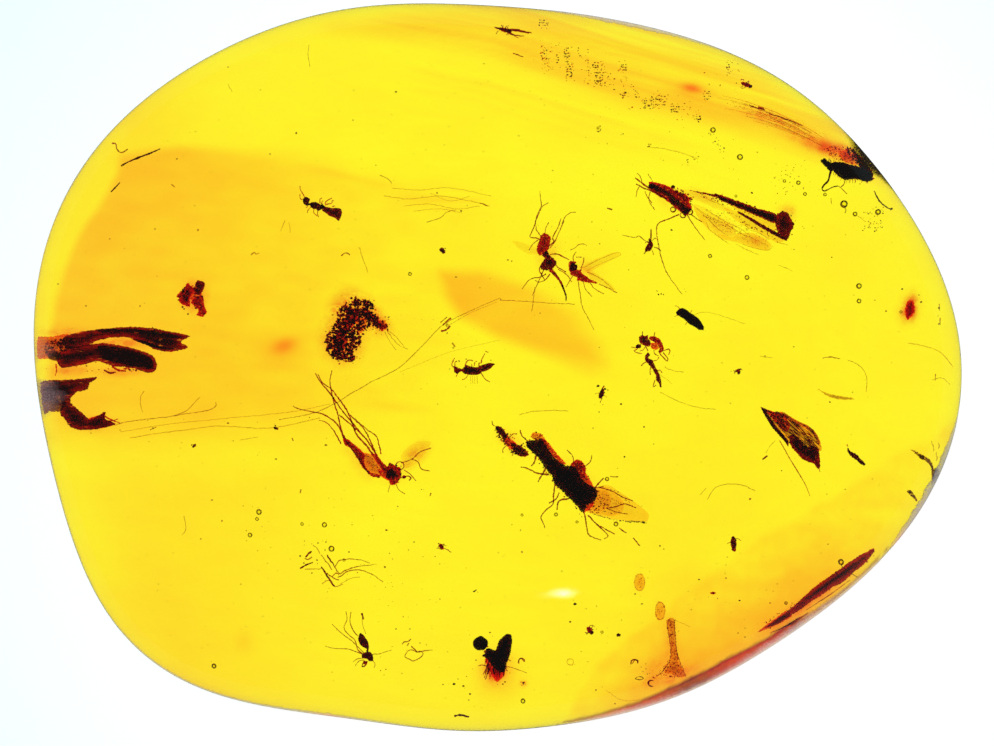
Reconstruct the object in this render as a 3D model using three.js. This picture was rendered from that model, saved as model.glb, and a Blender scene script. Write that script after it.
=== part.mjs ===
// A tumbled and polished piece of clear amber, lying on its flat ground face.
// One solid: a rounded-triangular pebble outline, a flat base, a soft lower
// edge, a blunt girdle and a gently crowned top.
//
// Millimetres, +Z up. The origin is at the middle of the outline, on the base.
// +X runs along the length of the piece, +Y across its width.

import * as THREE from 'three';
import { mergeVertices } from 'three/addons/utils/BufferGeometryUtils.js';

// ---------------------------------------------------------------- dimensions

const LENGTH = 40.0;            // overall, along X
const THICKNESS = 9.0;          // base to crown

// Outline of the girdle seen from above: radius about the origin as a Fourier
// series in the polar angle, [cosine, sine] for the 1st to the 10th harmonic.
const MEAN_RADIUS = 17.891;
const OUTLINE = [
  [-0.559, 0.028],
  [2.187, 0.100],
  [0.342, 0.004],
  [-0.091, -0.002],
  [0.252, 0.001],
  [-0.021, -0.182],
  [0.042, 0.070],
  [0.033, -0.055],
  [-0.020, 0.000],
  [0.012, 0.025],
];

const GIRDLE_HEIGHT = 3.3;      // the widest line of the piece, above the base
const GIRDLE_SWING = 0.6;       // it runs higher on the lower right side
const GIRDLE_SWING_AT = -50;    // degrees
const EDGE_INSET = 1.35;        // how far the flat base stops short of the girdle
const EDGE_SWING = 0.55;        // wider on the upper left side
const EDGE_SWING_AT = 160;      // degrees
const LOWER_POWER = 2.0;        // lower edge: a quarter ellipse

const CROWN_X = 1.6;            // the crown sits a little off the middle
const CROWN_Y = -0.9;
const SHOULDER_POWER = 3.0;     // radial exponent of the top
const CROWN_POWER = 2.3;        // vertical exponent of the top
const LEAN = 0.010;             // the top falls gently away from the crown's side
const WAVE = 0.07;              // hand-polished unevenness of the top

// ------------------------------------------------------------- tessellation

const AROUND = 96;              // facets round the outline
const LOWER_RINGS = 6;          // base edge to girdle
const UPPER_RINGS = 13;         // girdle to crown
const REST_TRIANGLE = 9.0;      // radius of the middle facet of the flat base

// ------------------------------------------------------------------- shape

const rad = (d) => (d * Math.PI) / 180;

function rawRadius(angle) {
  let r = MEAN_RADIUS;
  OUTLINE.forEach(([c, s], i) => {
    r += c * Math.cos((i + 1) * angle) + s * Math.sin((i + 1) * angle);
  });
  return r;
}

// The series is centred and scaled once, so that the length is exact and the
// origin is the middle of the box.
const frame = (() => {
  const box = { x0: Infinity, x1: -Infinity, y0: Infinity, y1: -Infinity };
  for (let i = 0; i < AROUND; i += 1) {
    const a = (2 * Math.PI * i) / AROUND;
    const x = rawRadius(a) * Math.cos(a);
    const y = rawRadius(a) * Math.sin(a);
    box.x0 = Math.min(box.x0, x);
    box.x1 = Math.max(box.x1, x);
    box.y0 = Math.min(box.y0, y);
    box.y1 = Math.max(box.y1, y);
  }
  return {
    x: (box.x0 + box.x1) / 2,
    y: (box.y0 + box.y1) / 2,
    k: LENGTH / (box.x1 - box.x0),
  };
})();

const girdleHeight = (a) =>
  GIRDLE_HEIGHT + GIRDLE_SWING * 0.5 * (1 + Math.cos(a - rad(GIRDLE_SWING_AT)));

const edgeInset = (a) =>
  EDGE_INSET + EDGE_SWING * 0.5 * (1 + Math.cos(a - rad(EDGE_SWING_AT)));

// A point of the surface at polar angle a, from the outline's own ray.
// reach is the share of the radius, z the height.
function onRay(a, reach, z) {
  const r = rawRadius(a);
  const x = (r * Math.cos(a) - frame.x) * frame.k;
  const y = (r * Math.sin(a) - frame.y) * frame.k;
  return [x * reach, y * reach, z];
}

function lowerPoint(a, t) {
  const r = rawRadius(a) * frame.k;
  const q = t * Math.PI * 0.5;
  const out = Math.sin(q) ** (2 / LOWER_POWER);
  const up = 1 - Math.cos(q) ** (2 / LOWER_POWER);
  const inset = edgeInset(a);
  return onRay(a, 1 - (inset * (1 - out)) / r, girdleHeight(a) * up);
}

// The top: a superellipse from the girdle to the crown, shifted towards the
// crown's side by a shear that dies out at the girdle, with a slow wave.
function topHeight(x, y) {
  return (
    1 + LEAN * ((x - CROWN_X) * 0.55 - (y - CROWN_Y) * 0.35) * 0.5
      - 0.00022 * ((x - CROWN_X) ** 2 + (y - CROWN_Y) ** 2)
  );
}

function upperPoint(a, t) {
  const q = t * Math.PI * 0.5;
  const reach = Math.cos(q) ** (2 / SHOULDER_POWER);
  const rise = Math.sin(q) ** (2 / CROWN_POWER);
  const zg = girdleHeight(a);
  const [x, y] = onRay(a, reach, 0);
  const wave =
    WAVE * Math.sin(0.31 * x + 0.9) * Math.cos(0.37 * y - 0.4) * rise * (1 - reach ** 4);
  const z = zg + (THICKNESS * topHeight(x, y) - zg) * rise + wave;
  return [x, y, z];
}

// ------------------------------------------------------------------ mesh

const points = [];
const faces = [];
const put = (p) => points.push(p) - 1;

const rings = [];
for (let j = 0; j <= LOWER_RINGS; j += 1) {
  const ring = [];
  for (let i = 0; i < AROUND; i += 1) {
    ring.push(put(lowerPoint((2 * Math.PI * i) / AROUND, j / LOWER_RINGS)));
  }
  rings.push(ring);
}
for (let j = 1; j < UPPER_RINGS; j += 1) {
  const ring = [];
  // rings crowd towards the shoulder, where the surface turns fastest
  const t = (j / UPPER_RINGS) ** 1.15;
  for (let i = 0; i < AROUND; i += 1) {
    ring.push(put(upperPoint((2 * Math.PI * i) / AROUND, t)));
  }
  rings.push(ring);
}
const crown = put([0, 0, upperPoint(0, 1)[2]]);

for (let j = 0; j + 1 < rings.length; j += 1) {
  for (let i = 0; i < AROUND; i += 1) {
    const k = (i + 1) % AROUND;
    const [a, b, c, d] = [rings[j][i], rings[j][k], rings[j + 1][k], rings[j + 1][i]];
    faces.push([a, b, c], [a, c, d]);
  }
}
const last = rings[rings.length - 1];
for (let i = 0; i < AROUND; i += 1) {
  faces.push([last[i], last[(i + 1) % AROUND], crown]);
}

// The flat base: one large facet in the middle, and the rest filled round it.
const rim = rings[0].map((n) => new THREE.Vector2(points[n][0], points[n][1]));
const middle = [90, 210, 330].map(
  (d) => new THREE.Vector2(REST_TRIANGLE * Math.cos(rad(d)), REST_TRIANGLE * Math.sin(rad(d))),
);
const middleIds = middle.map((p) => put([p.x, p.y, 0]));
const fill = THREE.ShapeUtils.triangulateShape(rim, [middle]);
const ids = [...rings[0], ...middleIds];
const flat = [...rim, ...middle];
for (const [a, b, c] of [...fill, [AROUND, AROUND + 1, AROUND + 2]]) {
  const area =
    (flat[b].x - flat[a].x) * (flat[c].y - flat[a].y) -
    (flat[c].x - flat[a].x) * (flat[b].y - flat[a].y);
  faces.push(area > 0 ? [ids[a], ids[c], ids[b]] : [ids[a], ids[b], ids[c]]);
}

let geometry = new THREE.BufferGeometry();
geometry.setAttribute('position', new THREE.Float32BufferAttribute(points.flat(), 3));
geometry.setIndex(faces.flat());
geometry = mergeVertices(geometry, 1e-5);
geometry.computeVertexNormals();

const resin = new THREE.MeshStandardMaterial({
  color: new THREE.Color(1.0, 0.78, 0.05),
  roughness: 0.06,
  metalness: 0.0,
  transparent: true,
  opacity: 0.6,
});

const amber = new THREE.Mesh(geometry, resin);
amber.name = 'amber';

const piece = new THREE.Group();
piece.add(amber);

export default piece;
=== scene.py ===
import math
import bpy
import numpy as np
from mathutils import Matrix, Vector
from mathutils.geometry import delaunay_2d_cdt


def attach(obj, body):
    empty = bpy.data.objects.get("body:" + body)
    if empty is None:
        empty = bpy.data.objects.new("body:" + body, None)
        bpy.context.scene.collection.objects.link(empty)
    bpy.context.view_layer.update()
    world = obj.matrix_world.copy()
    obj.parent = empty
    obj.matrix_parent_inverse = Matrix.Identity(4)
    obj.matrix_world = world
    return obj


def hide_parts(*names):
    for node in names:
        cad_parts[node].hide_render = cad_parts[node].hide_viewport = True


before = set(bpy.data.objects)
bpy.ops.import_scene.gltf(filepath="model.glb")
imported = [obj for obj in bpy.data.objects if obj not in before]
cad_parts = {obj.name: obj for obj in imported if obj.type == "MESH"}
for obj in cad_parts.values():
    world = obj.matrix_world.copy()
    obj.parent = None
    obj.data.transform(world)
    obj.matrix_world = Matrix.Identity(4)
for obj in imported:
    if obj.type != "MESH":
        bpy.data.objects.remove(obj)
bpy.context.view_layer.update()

MM = 0.001
PXMM = 0.04314995                 # one pixel of the photograph at the girdle, in mm
PX0, PY0 = 497.0, 366.75          # the pixel over the model's origin
IOR = 1.54

# ---------------------------------------------------------------------------
# The piece of amber: the same surface as the CAD solid, in mm
# ---------------------------------------------------------------------------
LENGTH, THICKNESS = 40.0, 9.0
MEAN_RADIUS = 17.891
OUTLINE = [(-0.559, 0.028), (2.187, 0.100), (0.342, 0.004), (-0.091, -0.002), (0.252, 0.001),
           (-0.021, -0.182), (0.042, 0.070), (0.033, -0.055), (-0.020, 0.000), (0.012, 0.025)]
GIRDLE_HEIGHT, GIRDLE_SWING, GIRDLE_SWING_AT = 3.3, 0.6, math.radians(-50)
EDGE_INSET, EDGE_SWING, EDGE_SWING_AT = 1.35, 0.55, math.radians(160)
LOWER_POWER, SHOULDER_POWER, CROWN_POWER = 2.0, 3.0, 2.3
CROWN_X, CROWN_Y, LEAN, WAVE = 1.6, -0.9, 0.010, 0.07


def raw_radius(a):
    r = MEAN_RADIUS + 0.0 * a
    for i, (c, s) in enumerate(OUTLINE):
        r = r + c * np.cos((i + 1) * a) + s * np.sin((i + 1) * a)
    return r


_a = np.arange(96) * 2 * math.pi / 96
_x, _y = raw_radius(_a) * np.cos(_a), raw_radius(_a) * np.sin(_a)
FX, FY = (_x.min() + _x.max()) / 2, (_y.min() + _y.max()) / 2
FK = LENGTH / (_x.max() - _x.min())


def girdle_height(a):
    return GIRDLE_HEIGHT + GIRDLE_SWING * 0.5 * (1 + np.cos(a - GIRDLE_SWING_AT))


def edge_inset(a):
    return EDGE_INSET + EDGE_SWING * 0.5 * (1 + np.cos(a - EDGE_SWING_AT))


def on_ray(a, reach):
    r = raw_radius(a)
    return (r * np.cos(a) - FX) * FK * reach, (r * np.sin(a) - FY) * FK * reach


def top_factor(x, y):
    return (1 + LEAN * ((x - CROWN_X) * 0.55 - (y - CROWN_Y) * 0.35) * 0.5
            - 0.00022 * ((x - CROWN_X) ** 2 + (y - CROWN_Y) ** 2))


def _top_z(x, y, a, reach):
    reach = np.clip(reach, 0, 1)
    q = np.arccos(np.clip(reach ** (SHOULDER_POWER / 2), 0, 1))
    rise = np.sin(q) ** (2 / CROWN_POWER)
    zg = girdle_height(a)
    wave = WAVE * np.sin(0.31 * x + 0.9) * np.cos(0.37 * y - 0.4) * rise * (1 - reach ** 4)
    return zg + (THICKNESS * top_factor(x, y) - zg) * rise + wave


_ta = np.linspace(-math.pi, math.pi, 8193)
_tx, _ty = on_ray(_ta, 1.0)
_tphi = np.unwrap(np.arctan2(_ty, _tx))
_tr = np.hypot(_tx, _ty)


def find_angle(x, y):
    """the outline's own angle and the share of its radius at x, y"""
    phi = np.arctan2(y, x)
    phi = np.where(phi < _tphi[0], phi + 2 * math.pi, np.where(phi > _tphi[-1], phi - 2 * math.pi, phi))
    return np.interp(phi, _tphi, _ta), np.hypot(x, y) / np.interp(phi, _tphi, _tr)


def top_z(x, y):
    a, reach = find_angle(x, y)
    return _top_z(x, y, a, reach)


# ---------------------------------------------------------------------------
# Camera: straight down, as in the photograph
# ---------------------------------------------------------------------------
LENS, SENSOR = 150.0, 36.0
REF_Z = 3.6                                        # the photograph's scale holds at the girdle, mm
CAM_X = (497.0 - PX0) * PXMM
CAM_Y = -(373.0 - PY0) * PXMM
CAM_D = 994 * PXMM / SENSOR * LENS                 # mm above the girdle
CAM = np.array([CAM_X, CAM_Y, REF_Z + CAM_D])

cam_data = bpy.data.cameras.new("camera")
cam_data.lens, cam_data.sensor_width = LENS, SENSOR
cam_data.clip_start, cam_data.clip_end = 0.005, 20
cam = bpy.data.objects.new("camera", cam_data)
cam.location = CAM * MM
bpy.context.scene.collection.objects.link(cam)
bpy.context.scene.camera = cam


def warp(p):
    """p: points in mm as the photograph shows them (x, y as seen, at their true height z).
    Gives where they lie in the resin, from the camera's ray bent at the top surface."""
    p = np.asarray(p, float)
    n_pt = len(p)
    tgt = np.stack([p[:, 0], p[:, 1], np.full(n_pt, REF_Z)], 1)
    d = tgt - CAM
    d /= np.linalg.norm(d, axis=1)[:, None]
    # where the ray meets the top
    z = np.full(n_pt, 8.0)
    for _ in range(18):
        s = (z - CAM[2]) / d[:, 2]
        x, y = CAM[0] + d[:, 0] * s, CAM[1] + d[:, 1] * s
        z = 0.5 * z + 0.5 * top_z(x, y)
    e = 0.01
    gx = (top_z(x + e, y) - top_z(x - e, y)) / (2 * e)
    gy = (top_z(x, y + e) - top_z(x, y - e)) / (2 * e)
    gx, gy = np.clip(gx, -4, 4), np.clip(gy, -4, 4)
    n = np.stack([-gx, -gy, np.ones(n_pt)], 1)
    n /= np.linalg.norm(n, axis=1)[:, None]
    c = -(d * n).sum(1)
    eta = 1 / IOR
    k = 1 - eta * eta * (1 - c * c)
    t = eta * d + (eta * c - np.sqrt(np.maximum(k, 0)))[:, None] * n
    s = (p[:, 2] - z) / t[:, 2]
    out = np.stack([x + t[:, 0] * s, y + t[:, 1] * s, p[:, 2]], 1)
    above = p[:, 2] >= z                     # nothing sticks out of the resin
    out[above] = np.stack([x, y, z - 0.02], 1)[above]
    return out


def px(x, y, z):
    """a pixel of the photograph and a height in mm, as a point to warp"""
    return ((x - PX0) * PXMM, -(y - PY0) * PXMM, z)
# ---------------------------------------------------------------------------
# Nodes
# ---------------------------------------------------------------------------
def new_mat(name):
    m = bpy.data.materials.new(name)
    m.use_nodes = True
    nt = m.node_tree
    nt.nodes.clear()
    return m, nt, nt.nodes.new("ShaderNodeOutputMaterial")


def add(nt, kind, inputs=None, **kw):
    n = nt.nodes.new(kind)
    for k, v in kw.items():
        setattr(n, k, v)
    for k, v in (inputs or {}).items():
        n.inputs[k].default_value = v
    return n


def mesh_object(name, verts, faces, mats, smooth=True, face_mats=None):
    """verts in mm"""
    me = bpy.data.meshes.new(name)
    me.from_pydata((np.asarray(verts) * MM).tolist(), [], faces)
    for m in mats:
        me.materials.append(m)
    if face_mats is not None:
        me.polygons.foreach_set("material_index", np.asarray(face_mats, np.int32))
    me.polygons.foreach_set("use_smooth", [smooth] * len(me.polygons))
    me.update()
    o = bpy.data.objects.new(name, me)
    bpy.context.scene.collection.objects.link(o)
    return o


# ---------------------------------------------------------------------------
# Amber body: the CAD surface, finer
# ---------------------------------------------------------------------------
def body_mesh(around=384, lower=24, upper=64):
    a = np.arange(around) * 2 * math.pi / around
    zg, inset = girdle_height(a), edge_inset(a)
    ox, oy = on_ray(a, 1.0)
    half = np.hypot(ox, oy)
    rings = []
    for i in range(lower):
        q = (i / lower) * math.pi / 2
        reach = 1 - inset * (1 - math.sin(q)) / half
        x, y = on_ray(a, reach)
        z = zg * (1 - math.cos(q))
        rings.append(np.stack([x, y, z], 1))
    for i in range(upper):
        q = ((i / upper) ** 1.15) * math.pi / 2
        reach = math.cos(q) ** (2 / SHOULDER_POWER) + 0 * a
        x, y = on_ray(a, reach)
        z = _top_z(x, y, a, reach)
        rings.append(np.stack([x, y, z], 1))
    v = np.concatenate(rings)
    faces = []
    n = len(rings)
    for r in range(n - 1):
        for i in range(around):
            j = (i + 1) % around
            faces.append((r * around + i, r * around + j, (r + 1) * around + j, (r + 1) * around + i))
    top = len(v)
    zc = top_z(np.array([1e-6]), np.array([1e-6]))[0]
    bx, by = rings[0][:, 0].mean(), rings[0][:, 1].mean()
    v = np.concatenate([v, [[0, 0, zc], [0, 0, 0]]])
    for i in range(around):
        j = (i + 1) % around
        faces.append(((n - 1) * around + i, (n - 1) * around + j, top))
        faces.append((j, i, top + 1))
    return v, faces


amber_mat, nt, out = new_mat("amber")
L = nt.links.new
bsdf = add(nt, "ShaderNodeBsdfPrincipled", {"IOR": IOR, "Transmission Weight": 1.0})
co = add(nt, "ShaderNodeTexCoord")
tone = add(nt, "ShaderNodeAttribute", attribute_name="tone")
cloud = add(nt, "ShaderNodeTexNoise", {"Scale": 190.0, "Detail": 4.0, "Roughness": 0.5})
fine = add(nt, "ShaderNodeTexNoise", {"Scale": 5200.0, "Detail": 4.0, "Roughness": 0.6})
scuff = add(nt, "ShaderNodeTexNoise", {"Scale": 900.0, "Detail": 6.0, "Roughness": 0.7, "Distortion": 1.2})
for nz in (cloud, fine, scuff):
    L(co.outputs["Object"], nz.inputs["Vector"])
warm = add(nt, "ShaderNodeMath", {1: 0.06, 2: -0.03}, operation="MULTIPLY_ADD")
L(cloud.outputs["Fac"], warm.inputs[0])
tsum = add(nt, "ShaderNodeMath", operation="ADD", use_clamp=True)
L(tone.outputs["Fac"], tsum.inputs[0])
L(warm.outputs[0], tsum.inputs[1])
skin = add(nt, "ShaderNodeMixRGB", {1: (1.0, 1.0, 0.045, 1), 2: (0.99, 0.80, 0.050, 1)})
L(tsum.outputs[0], skin.inputs[0])
L(skin.outputs[0], bsdf.inputs["Base Color"])
rg = add(nt, "ShaderNodeMapRange", {"From Min": 0.45, "From Max": 0.75, "To Min": 0.02, "To Max": 0.05})
L(scuff.outputs["Fac"], rg.inputs["Value"])
L(rg.outputs[0], bsdf.inputs["Roughness"])
bump = add(nt, "ShaderNodeBump", {"Strength": 0.06, "Distance": 0.00002})
L(scuff.outputs["Fac"], bump.inputs["Height"])
L(bump.outputs[0], bsdf.inputs["Normal"])
vol = add(nt, "ShaderNodeVolumeAbsorption", {"Color": (0.99, 0.96, 0.2, 1), "Density": 150.0})
L(bsdf.outputs[0], out.inputs[0])
L(vol.outputs[0], out.inputs[1])

v, f = body_mesh()
BUBBLES = [(713, 130, 3, 4.6), (740, 157, 3.2, 4.2), (784.5, 181, 1.8, 4.0), (798.4, 182.7, 2.3, 4.2), (825, 194.5, 1.9, 3.9), (844, 204, 4, 3.8),
           (855, 214, 2.5, 4.0), (878, 212, 3, 3.6), (859, 286, 3, 4.6), (859, 301, 2.5, 4.4), (259, 512, 3, 4.9), (257, 519, 2, 4.6),
           (250, 535, 2.5, 4.4), (302, 524, 1.8, 5.0), (324.4, 524.8, 2.8, 5.4), (331.5, 548.7, 3.2, 5.1), (841, 562, 3, 3.6), (522, 515, 1.6, 5.4),
           (556, 514.5, 2.1, 5.5), (577, 522, 1.6, 5.0), (602, 632, 1.6, 4.8), (523, 701, 2.5, 3.6), (410, 274, 2, 6.0),
           (607, 479, 2.3, 5.6), (616, 524, 2.6, 5.2), (598, 128, 1.6, 5.0), (710, 256, 2.2, 6.0), (747, 277.5, 2.6, 5.8), (805, 194, 2.0, 4.4),
           (901, 312, 1.6, 3.8), (214, 666, 2.6, 3.8), (447, 325, 1.6, 6.2), (344, 560, 1.6, 5.0), (786, 603, 1.8, 4.2), (736, 196, 1.5, 5.2)]
for bx, by, br, bz in BUBBLES:
    c = warp(np.array([px(bx, by, bz)]))[0]
    base, n_lat, n_lon, r = len(v), 12, 20, br * PXMM * 0.97
    sph = [(c[0], c[1], c[2] - r)]
    for i in range(1, n_lat):
        th = math.pi * i / n_lat
        sph += [(c[0] + r * math.sin(th) * math.cos(2 * math.pi * j / n_lon), c[1] + r * math.sin(th) * math.sin(2 * math.pi * j / n_lon), c[2] - r * math.cos(th)) for j in range(n_lon)]
    sph.append((c[0], c[1], c[2] + r))
    v = np.concatenate([v, sph])
    last = base + len(sph) - 1
    for j in range(n_lon):
        k = (j + 1) % n_lon
        f.append((base, base + 1 + j, base + 1 + k))
        f.append((last, last - n_lon + k, last - n_lon + j))
        for i in range(n_lat - 2):
            a0 = base + 1 + i * n_lon
            f.append((a0 + j, a0 + n_lon + j, a0 + n_lon + k, a0 + k))
amber = mesh_object("amber", v, f, [amber_mat])
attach(amber, "root")
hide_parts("amber")

# ---------------------------------------------------------------------------
# Floor, light pad, lights
# ---------------------------------------------------------------------------
FLOOR_GLOW, FLOOR_DIM, PAD_GLOW = 0.96, 0.15, 1.10
scene = bpy.context.scene
scene.view_settings.view_transform = "Standard"
scene.cycles.max_bounces = 10
scene.cycles.transmission_bounces = 8
scene.cycles.diffuse_bounces = 2
scene.cycles.glossy_bounces = 4
scene.cycles.transparent_max_bounces = 32
scene.cycles.use_adaptive_sampling = True
scene.cycles.adaptive_threshold = 0.02
scene.cycles.caustics_reflective = False
scene.cycles.caustics_refractive = True

floor_mat, nt, out = new_mat("pale floor")
floor_mat.cycles.emission_sampling = "NONE"
bs = add(nt, "ShaderNodeBsdfPrincipled", {"Base Color": (0.80, 0.84, 0.85, 1), "Roughness": 0.9,
                                           "Emission Color": (0.94, 1.0, 1.0, 1)})
lpf = add(nt, "ShaderNodeLightPath")
mr = add(nt, "ShaderNodeMapRange", {"To Min": FLOOR_DIM, "To Max": FLOOR_GLOW})
nt.links.new(lpf.outputs["Is Camera Ray"], mr.inputs["Value"])
nt.links.new(mr.outputs[0], bs.inputs["Emission Strength"])
fco = add(nt, "ShaderNodeTexCoord")
fdist = add(nt, "ShaderNodeVectorMath", {1: (0.004, -0.004, -0.00012)}, operation="DISTANCE")
nt.links.new(fco.outputs["Object"], fdist.inputs[0])
fmap = add(nt, "ShaderNodeMapRange", {"From Min": 0.014, "From Max": 0.034})
nt.links.new(fdist.outputs["Value"], fmap.inputs["Value"])
fcol = add(nt, "ShaderNodeMixRGB", {1: (1.0, 1.0, 0.995, 1), 2: (0.73, 0.97, 0.98, 1)})
nt.links.new(fmap.outputs[0], fcol.inputs[0])
nt.links.new(fcol.outputs[0], bs.inputs["Emission Color"])
fm = add(nt, "ShaderNodeMixRGB", {1: (0.22, 0.23, 0.23, 1), 2: (0.80, 0.84, 0.85, 1)})
nt.links.new(lpf.outputs["Is Camera Ray"], fm.inputs[0])
nt.links.new(fm.outputs[0], bs.inputs["Base Color"])
nt.links.new(bs.outputs[0], out.inputs[0])
fv = [(-900, -900, -0.12), (900, -900, -0.12), (900, 900, -0.12), (-900, 900, -0.12)]
floor = mesh_object("floor", fv, [(0, 1, 2, 3)], [floor_mat], False)

pad_mat, nt, out = new_mat("light pad")
pad_mat.cycles.emission_sampling = "NONE"
em = add(nt, "ShaderNodeEmission", {"Color": (1.0, 1.0, 0.96, 1), "Strength": PAD_GLOW})
nt.links.new(em.outputs[0], out.inputs[0])
aa = np.arange(128) * 2 * math.pi / 128
ox, oy = on_ray(aa, 1.0)
half = np.hypot(ox, oy)
pxy = on_ray(aa, 1 - edge_inset(aa) * 0.45 / half)
pv = [(x, y, -0.04) for x, y in zip(*pxy)] + [(0, 0, -0.04)]
pad = mesh_object("light pad", pv, [(i, (i + 1) % 128, 128) for i in range(128)], [pad_mat], False)


def area(name, loc, aim, size, power, color=(1, 1, 1), size_y=None):
    d = bpy.data.lights.new(name, "AREA")
    d.energy, d.color, d.size = power, color, size
    if size_y:
        d.shape, d.size_y = "RECTANGLE", size_y
    o = bpy.data.objects.new(name, d)
    o.location = loc
    o.rotation_euler = (Vector(aim) - Vector(loc)).to_track_quat("-Z", "Y").to_euler()
    scene.collection.objects.link(o)
    return o


key = area("key", (-0.10, 0.14, 0.55), (0, 0, 0), 0.22, 0.35)
key.visible_glossy = False
key.visible_transmission = False
key.visible_camera = False

# the lamp whose reflection shows as a small bright streak low on the piece
hp = np.array([(563.0 - PX0) * PXMM, -(593.5 - PY0) * PXMM])
hx, hy = np.array([hp[0]]), np.array([hp[1]])
for _ in range(6):
    hz = top_z(hx, hy)
    s = (hz - CAM[2]) / (REF_Z - CAM[2])
    hx, hy = CAM[0] + (hp[0] - CAM[0]) * s, CAM[1] + (hp[1] - CAM[1]) * s
gxx = (top_z(hx + 0.01, hy) - top_z(hx - 0.01, hy)) / 0.02
gyy = (top_z(hx, hy + 0.01) - top_z(hx, hy - 0.01)) / 0.02
hn = Vector((-float(gxx[0]), -float(gyy[0]), 1)).normalized()
hpt = Vector((float(hx[0]), float(hy[0]), float(hz[0]))) * MM
hd = (hpt - Vector(CAM * MM)).normalized()
hr = hd - 2 * hd.dot(hn) * hn
lamp_at = hpt + hr * 0.5


def mirrored(ux, uy):
    """the point of the lamp's plane that shows at photograph pixel ux, uy"""
    qx, qy = (ux - PX0) * PXMM, -(uy - PY0) * PXMM
    x, y = np.array([qx]), np.array([qy])
    for _ in range(6):
        z = top_z(x, y)
        s = (z - CAM[2]) / (REF_Z - CAM[2])
        x, y = CAM[0] + (qx - CAM[0]) * s, CAM[1] + (qy - CAM[1]) * s
    gx = (top_z(x + 0.01, y) - top_z(x - 0.01, y)) / 0.02
    gy = (top_z(x, y + 0.01) - top_z(x, y - 0.01)) / 0.02
    n = Vector((-float(gx[0]), -float(gy[0]), 1)).normalized()
    at = Vector((float(x[0]), float(y[0]), float(z[0]))) * MM
    d = (at - Vector(CAM * MM)).normalized()
    d = d - 2 * d.dot(n) * n
    return at + d * ((lamp_at - at).dot(hr) / d.dot(hr))


# what one pixel sideways and one pixel down in the photograph is on the lamp's plane
step_x = (mirrored(573, 593.3) - mirrored(553, 593.3)) / 20
step_y = (mirrored(563, 597) - mirrored(563, 590)) / 7
back = hr.normalized()
side = step_x.normalized()
up = back.cross(side)
for nm, px_x, px_y, radiance in (("streak core", 6.0, 2.0, 11.0), ("streak lamp", 10.0, 3.4, 4.6), ("streak glow", 15.0, 5.6, 2.0)):
    turned, reach, _ = np.linalg.svd(np.array([[step_x.dot(side) * px_x, step_y.dot(side) * px_y], [step_x.dot(up) * px_x, step_y.dot(up) * px_y]]))
    w, h = 2 * float(reach[0]), 2 * float(reach[1])
    long_way = side * float(turned[0, 0]) + up * float(turned[1, 0])
    lamp = area(nm, lamp_at, hpt, w, radiance * math.pi * w * h, (1, 1, 1), h)
    lamp.data.shape = "ELLIPSE"
    lamp.rotation_euler = Matrix((long_way, back.cross(long_way), back)).transposed().to_euler()
    lamp.visible_camera = lamp.visible_diffuse = lamp.visible_transmission = lamp.visible_volume_scatter = False

world = bpy.data.worlds.new("studio")
scene.world = world
world.use_nodes = True
nt = world.node_tree
nt.nodes.clear()
out = nt.nodes.new("ShaderNodeOutputWorld")
lp = add(nt, "ShaderNodeLightPath")
b1 = add(nt, "ShaderNodeBackground", {"Color": (0.9, 0.97, 1.0, 1), "Strength": 0.10})
b2 = add(nt, "ShaderNodeBackground", {"Color": (0.94, 1.0, 1.0, 1), "Strength": 1.0})
mx = add(nt, "ShaderNodeMixShader")
nt.links.new(lp.outputs["Is Camera Ray"], mx.inputs[0])
nt.links.new(b1.outputs[0], mx.inputs[1])
nt.links.new(b2.outputs[0], mx.inputs[2])
nt.links.new(mx.outputs[0], out.inputs[0])

# ---------------------------------------------------------------------------
# Making what is sealed in the resin
# ---------------------------------------------------------------------------
RNG = np.random.RandomState(7)
_grad = np.random.RandomState(3).normal(size=(512, 3))
_grad /= np.linalg.norm(_grad, axis=1)[:, None]
_perm = np.random.RandomState(4).permutation(512)


def noise3(q):
    """smooth noise between about -1 and 1 at the points q"""
    q = np.asarray(q, float)
    i = np.floor(q).astype(int)
    f = q - i
    u = f * f * f * (f * (f * 6 - 15) + 10)
    out = 0
    for dx in (0, 1):
        for dy in (0, 1):
            for dz in (0, 1):
                h = _perm[(_perm[(_perm[(i[:, 0] + dx) & 511] + i[:, 1] + dy) & 511] + i[:, 2] + dz) & 511]
                d = f - np.array([dx, dy, dz])
                w = (u[:, 0] if dx else 1 - u[:, 0]) * (u[:, 1] if dy else 1 - u[:, 1]) * (u[:, 2] if dz else 1 - u[:, 2])
                out = out + w * (_grad[h] * d).sum(1)
    return out * 1.5


def noise_at(p, scale, seed=0.0):
    p = np.asarray(p, float)
    return noise3(np.stack([p[:, 0] * scale, p[:, 1] * scale, np.full(len(p), seed + 0.37)], 1))


def perlin(v):
    return float(noise3(np.array([[v[0], v[1], v[2]]]))[0])


def keep_inside(p):
    a, reach = find_angle(p[:, 0], p[:, 1])
    zg, inset = girdle_height(a), edge_inset(a)
    ox, oy = on_ray(a, 1.0)
    half = np.hypot(ox, oy)
    cosq = np.clip(1 - p[:, 2] / zg, 0, 1)
    sinq = np.sqrt(1 - cosq ** 2)
    lim = np.where(p[:, 2] < zg, 1 - inset * (1 - sinq) / half, 1.0) - 0.003
    k = np.where(reach > lim, lim / np.maximum(reach, 1e-6), 1.0)
    p = p.copy()
    p[:, 0] *= k
    p[:, 1] *= k
    p[:, 2] = np.minimum(p[:, 2], top_z(p[:, 0], p[:, 1]) - 0.03)
    p[:, 2] = np.maximum(p[:, 2], 0.06)
    return p


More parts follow.
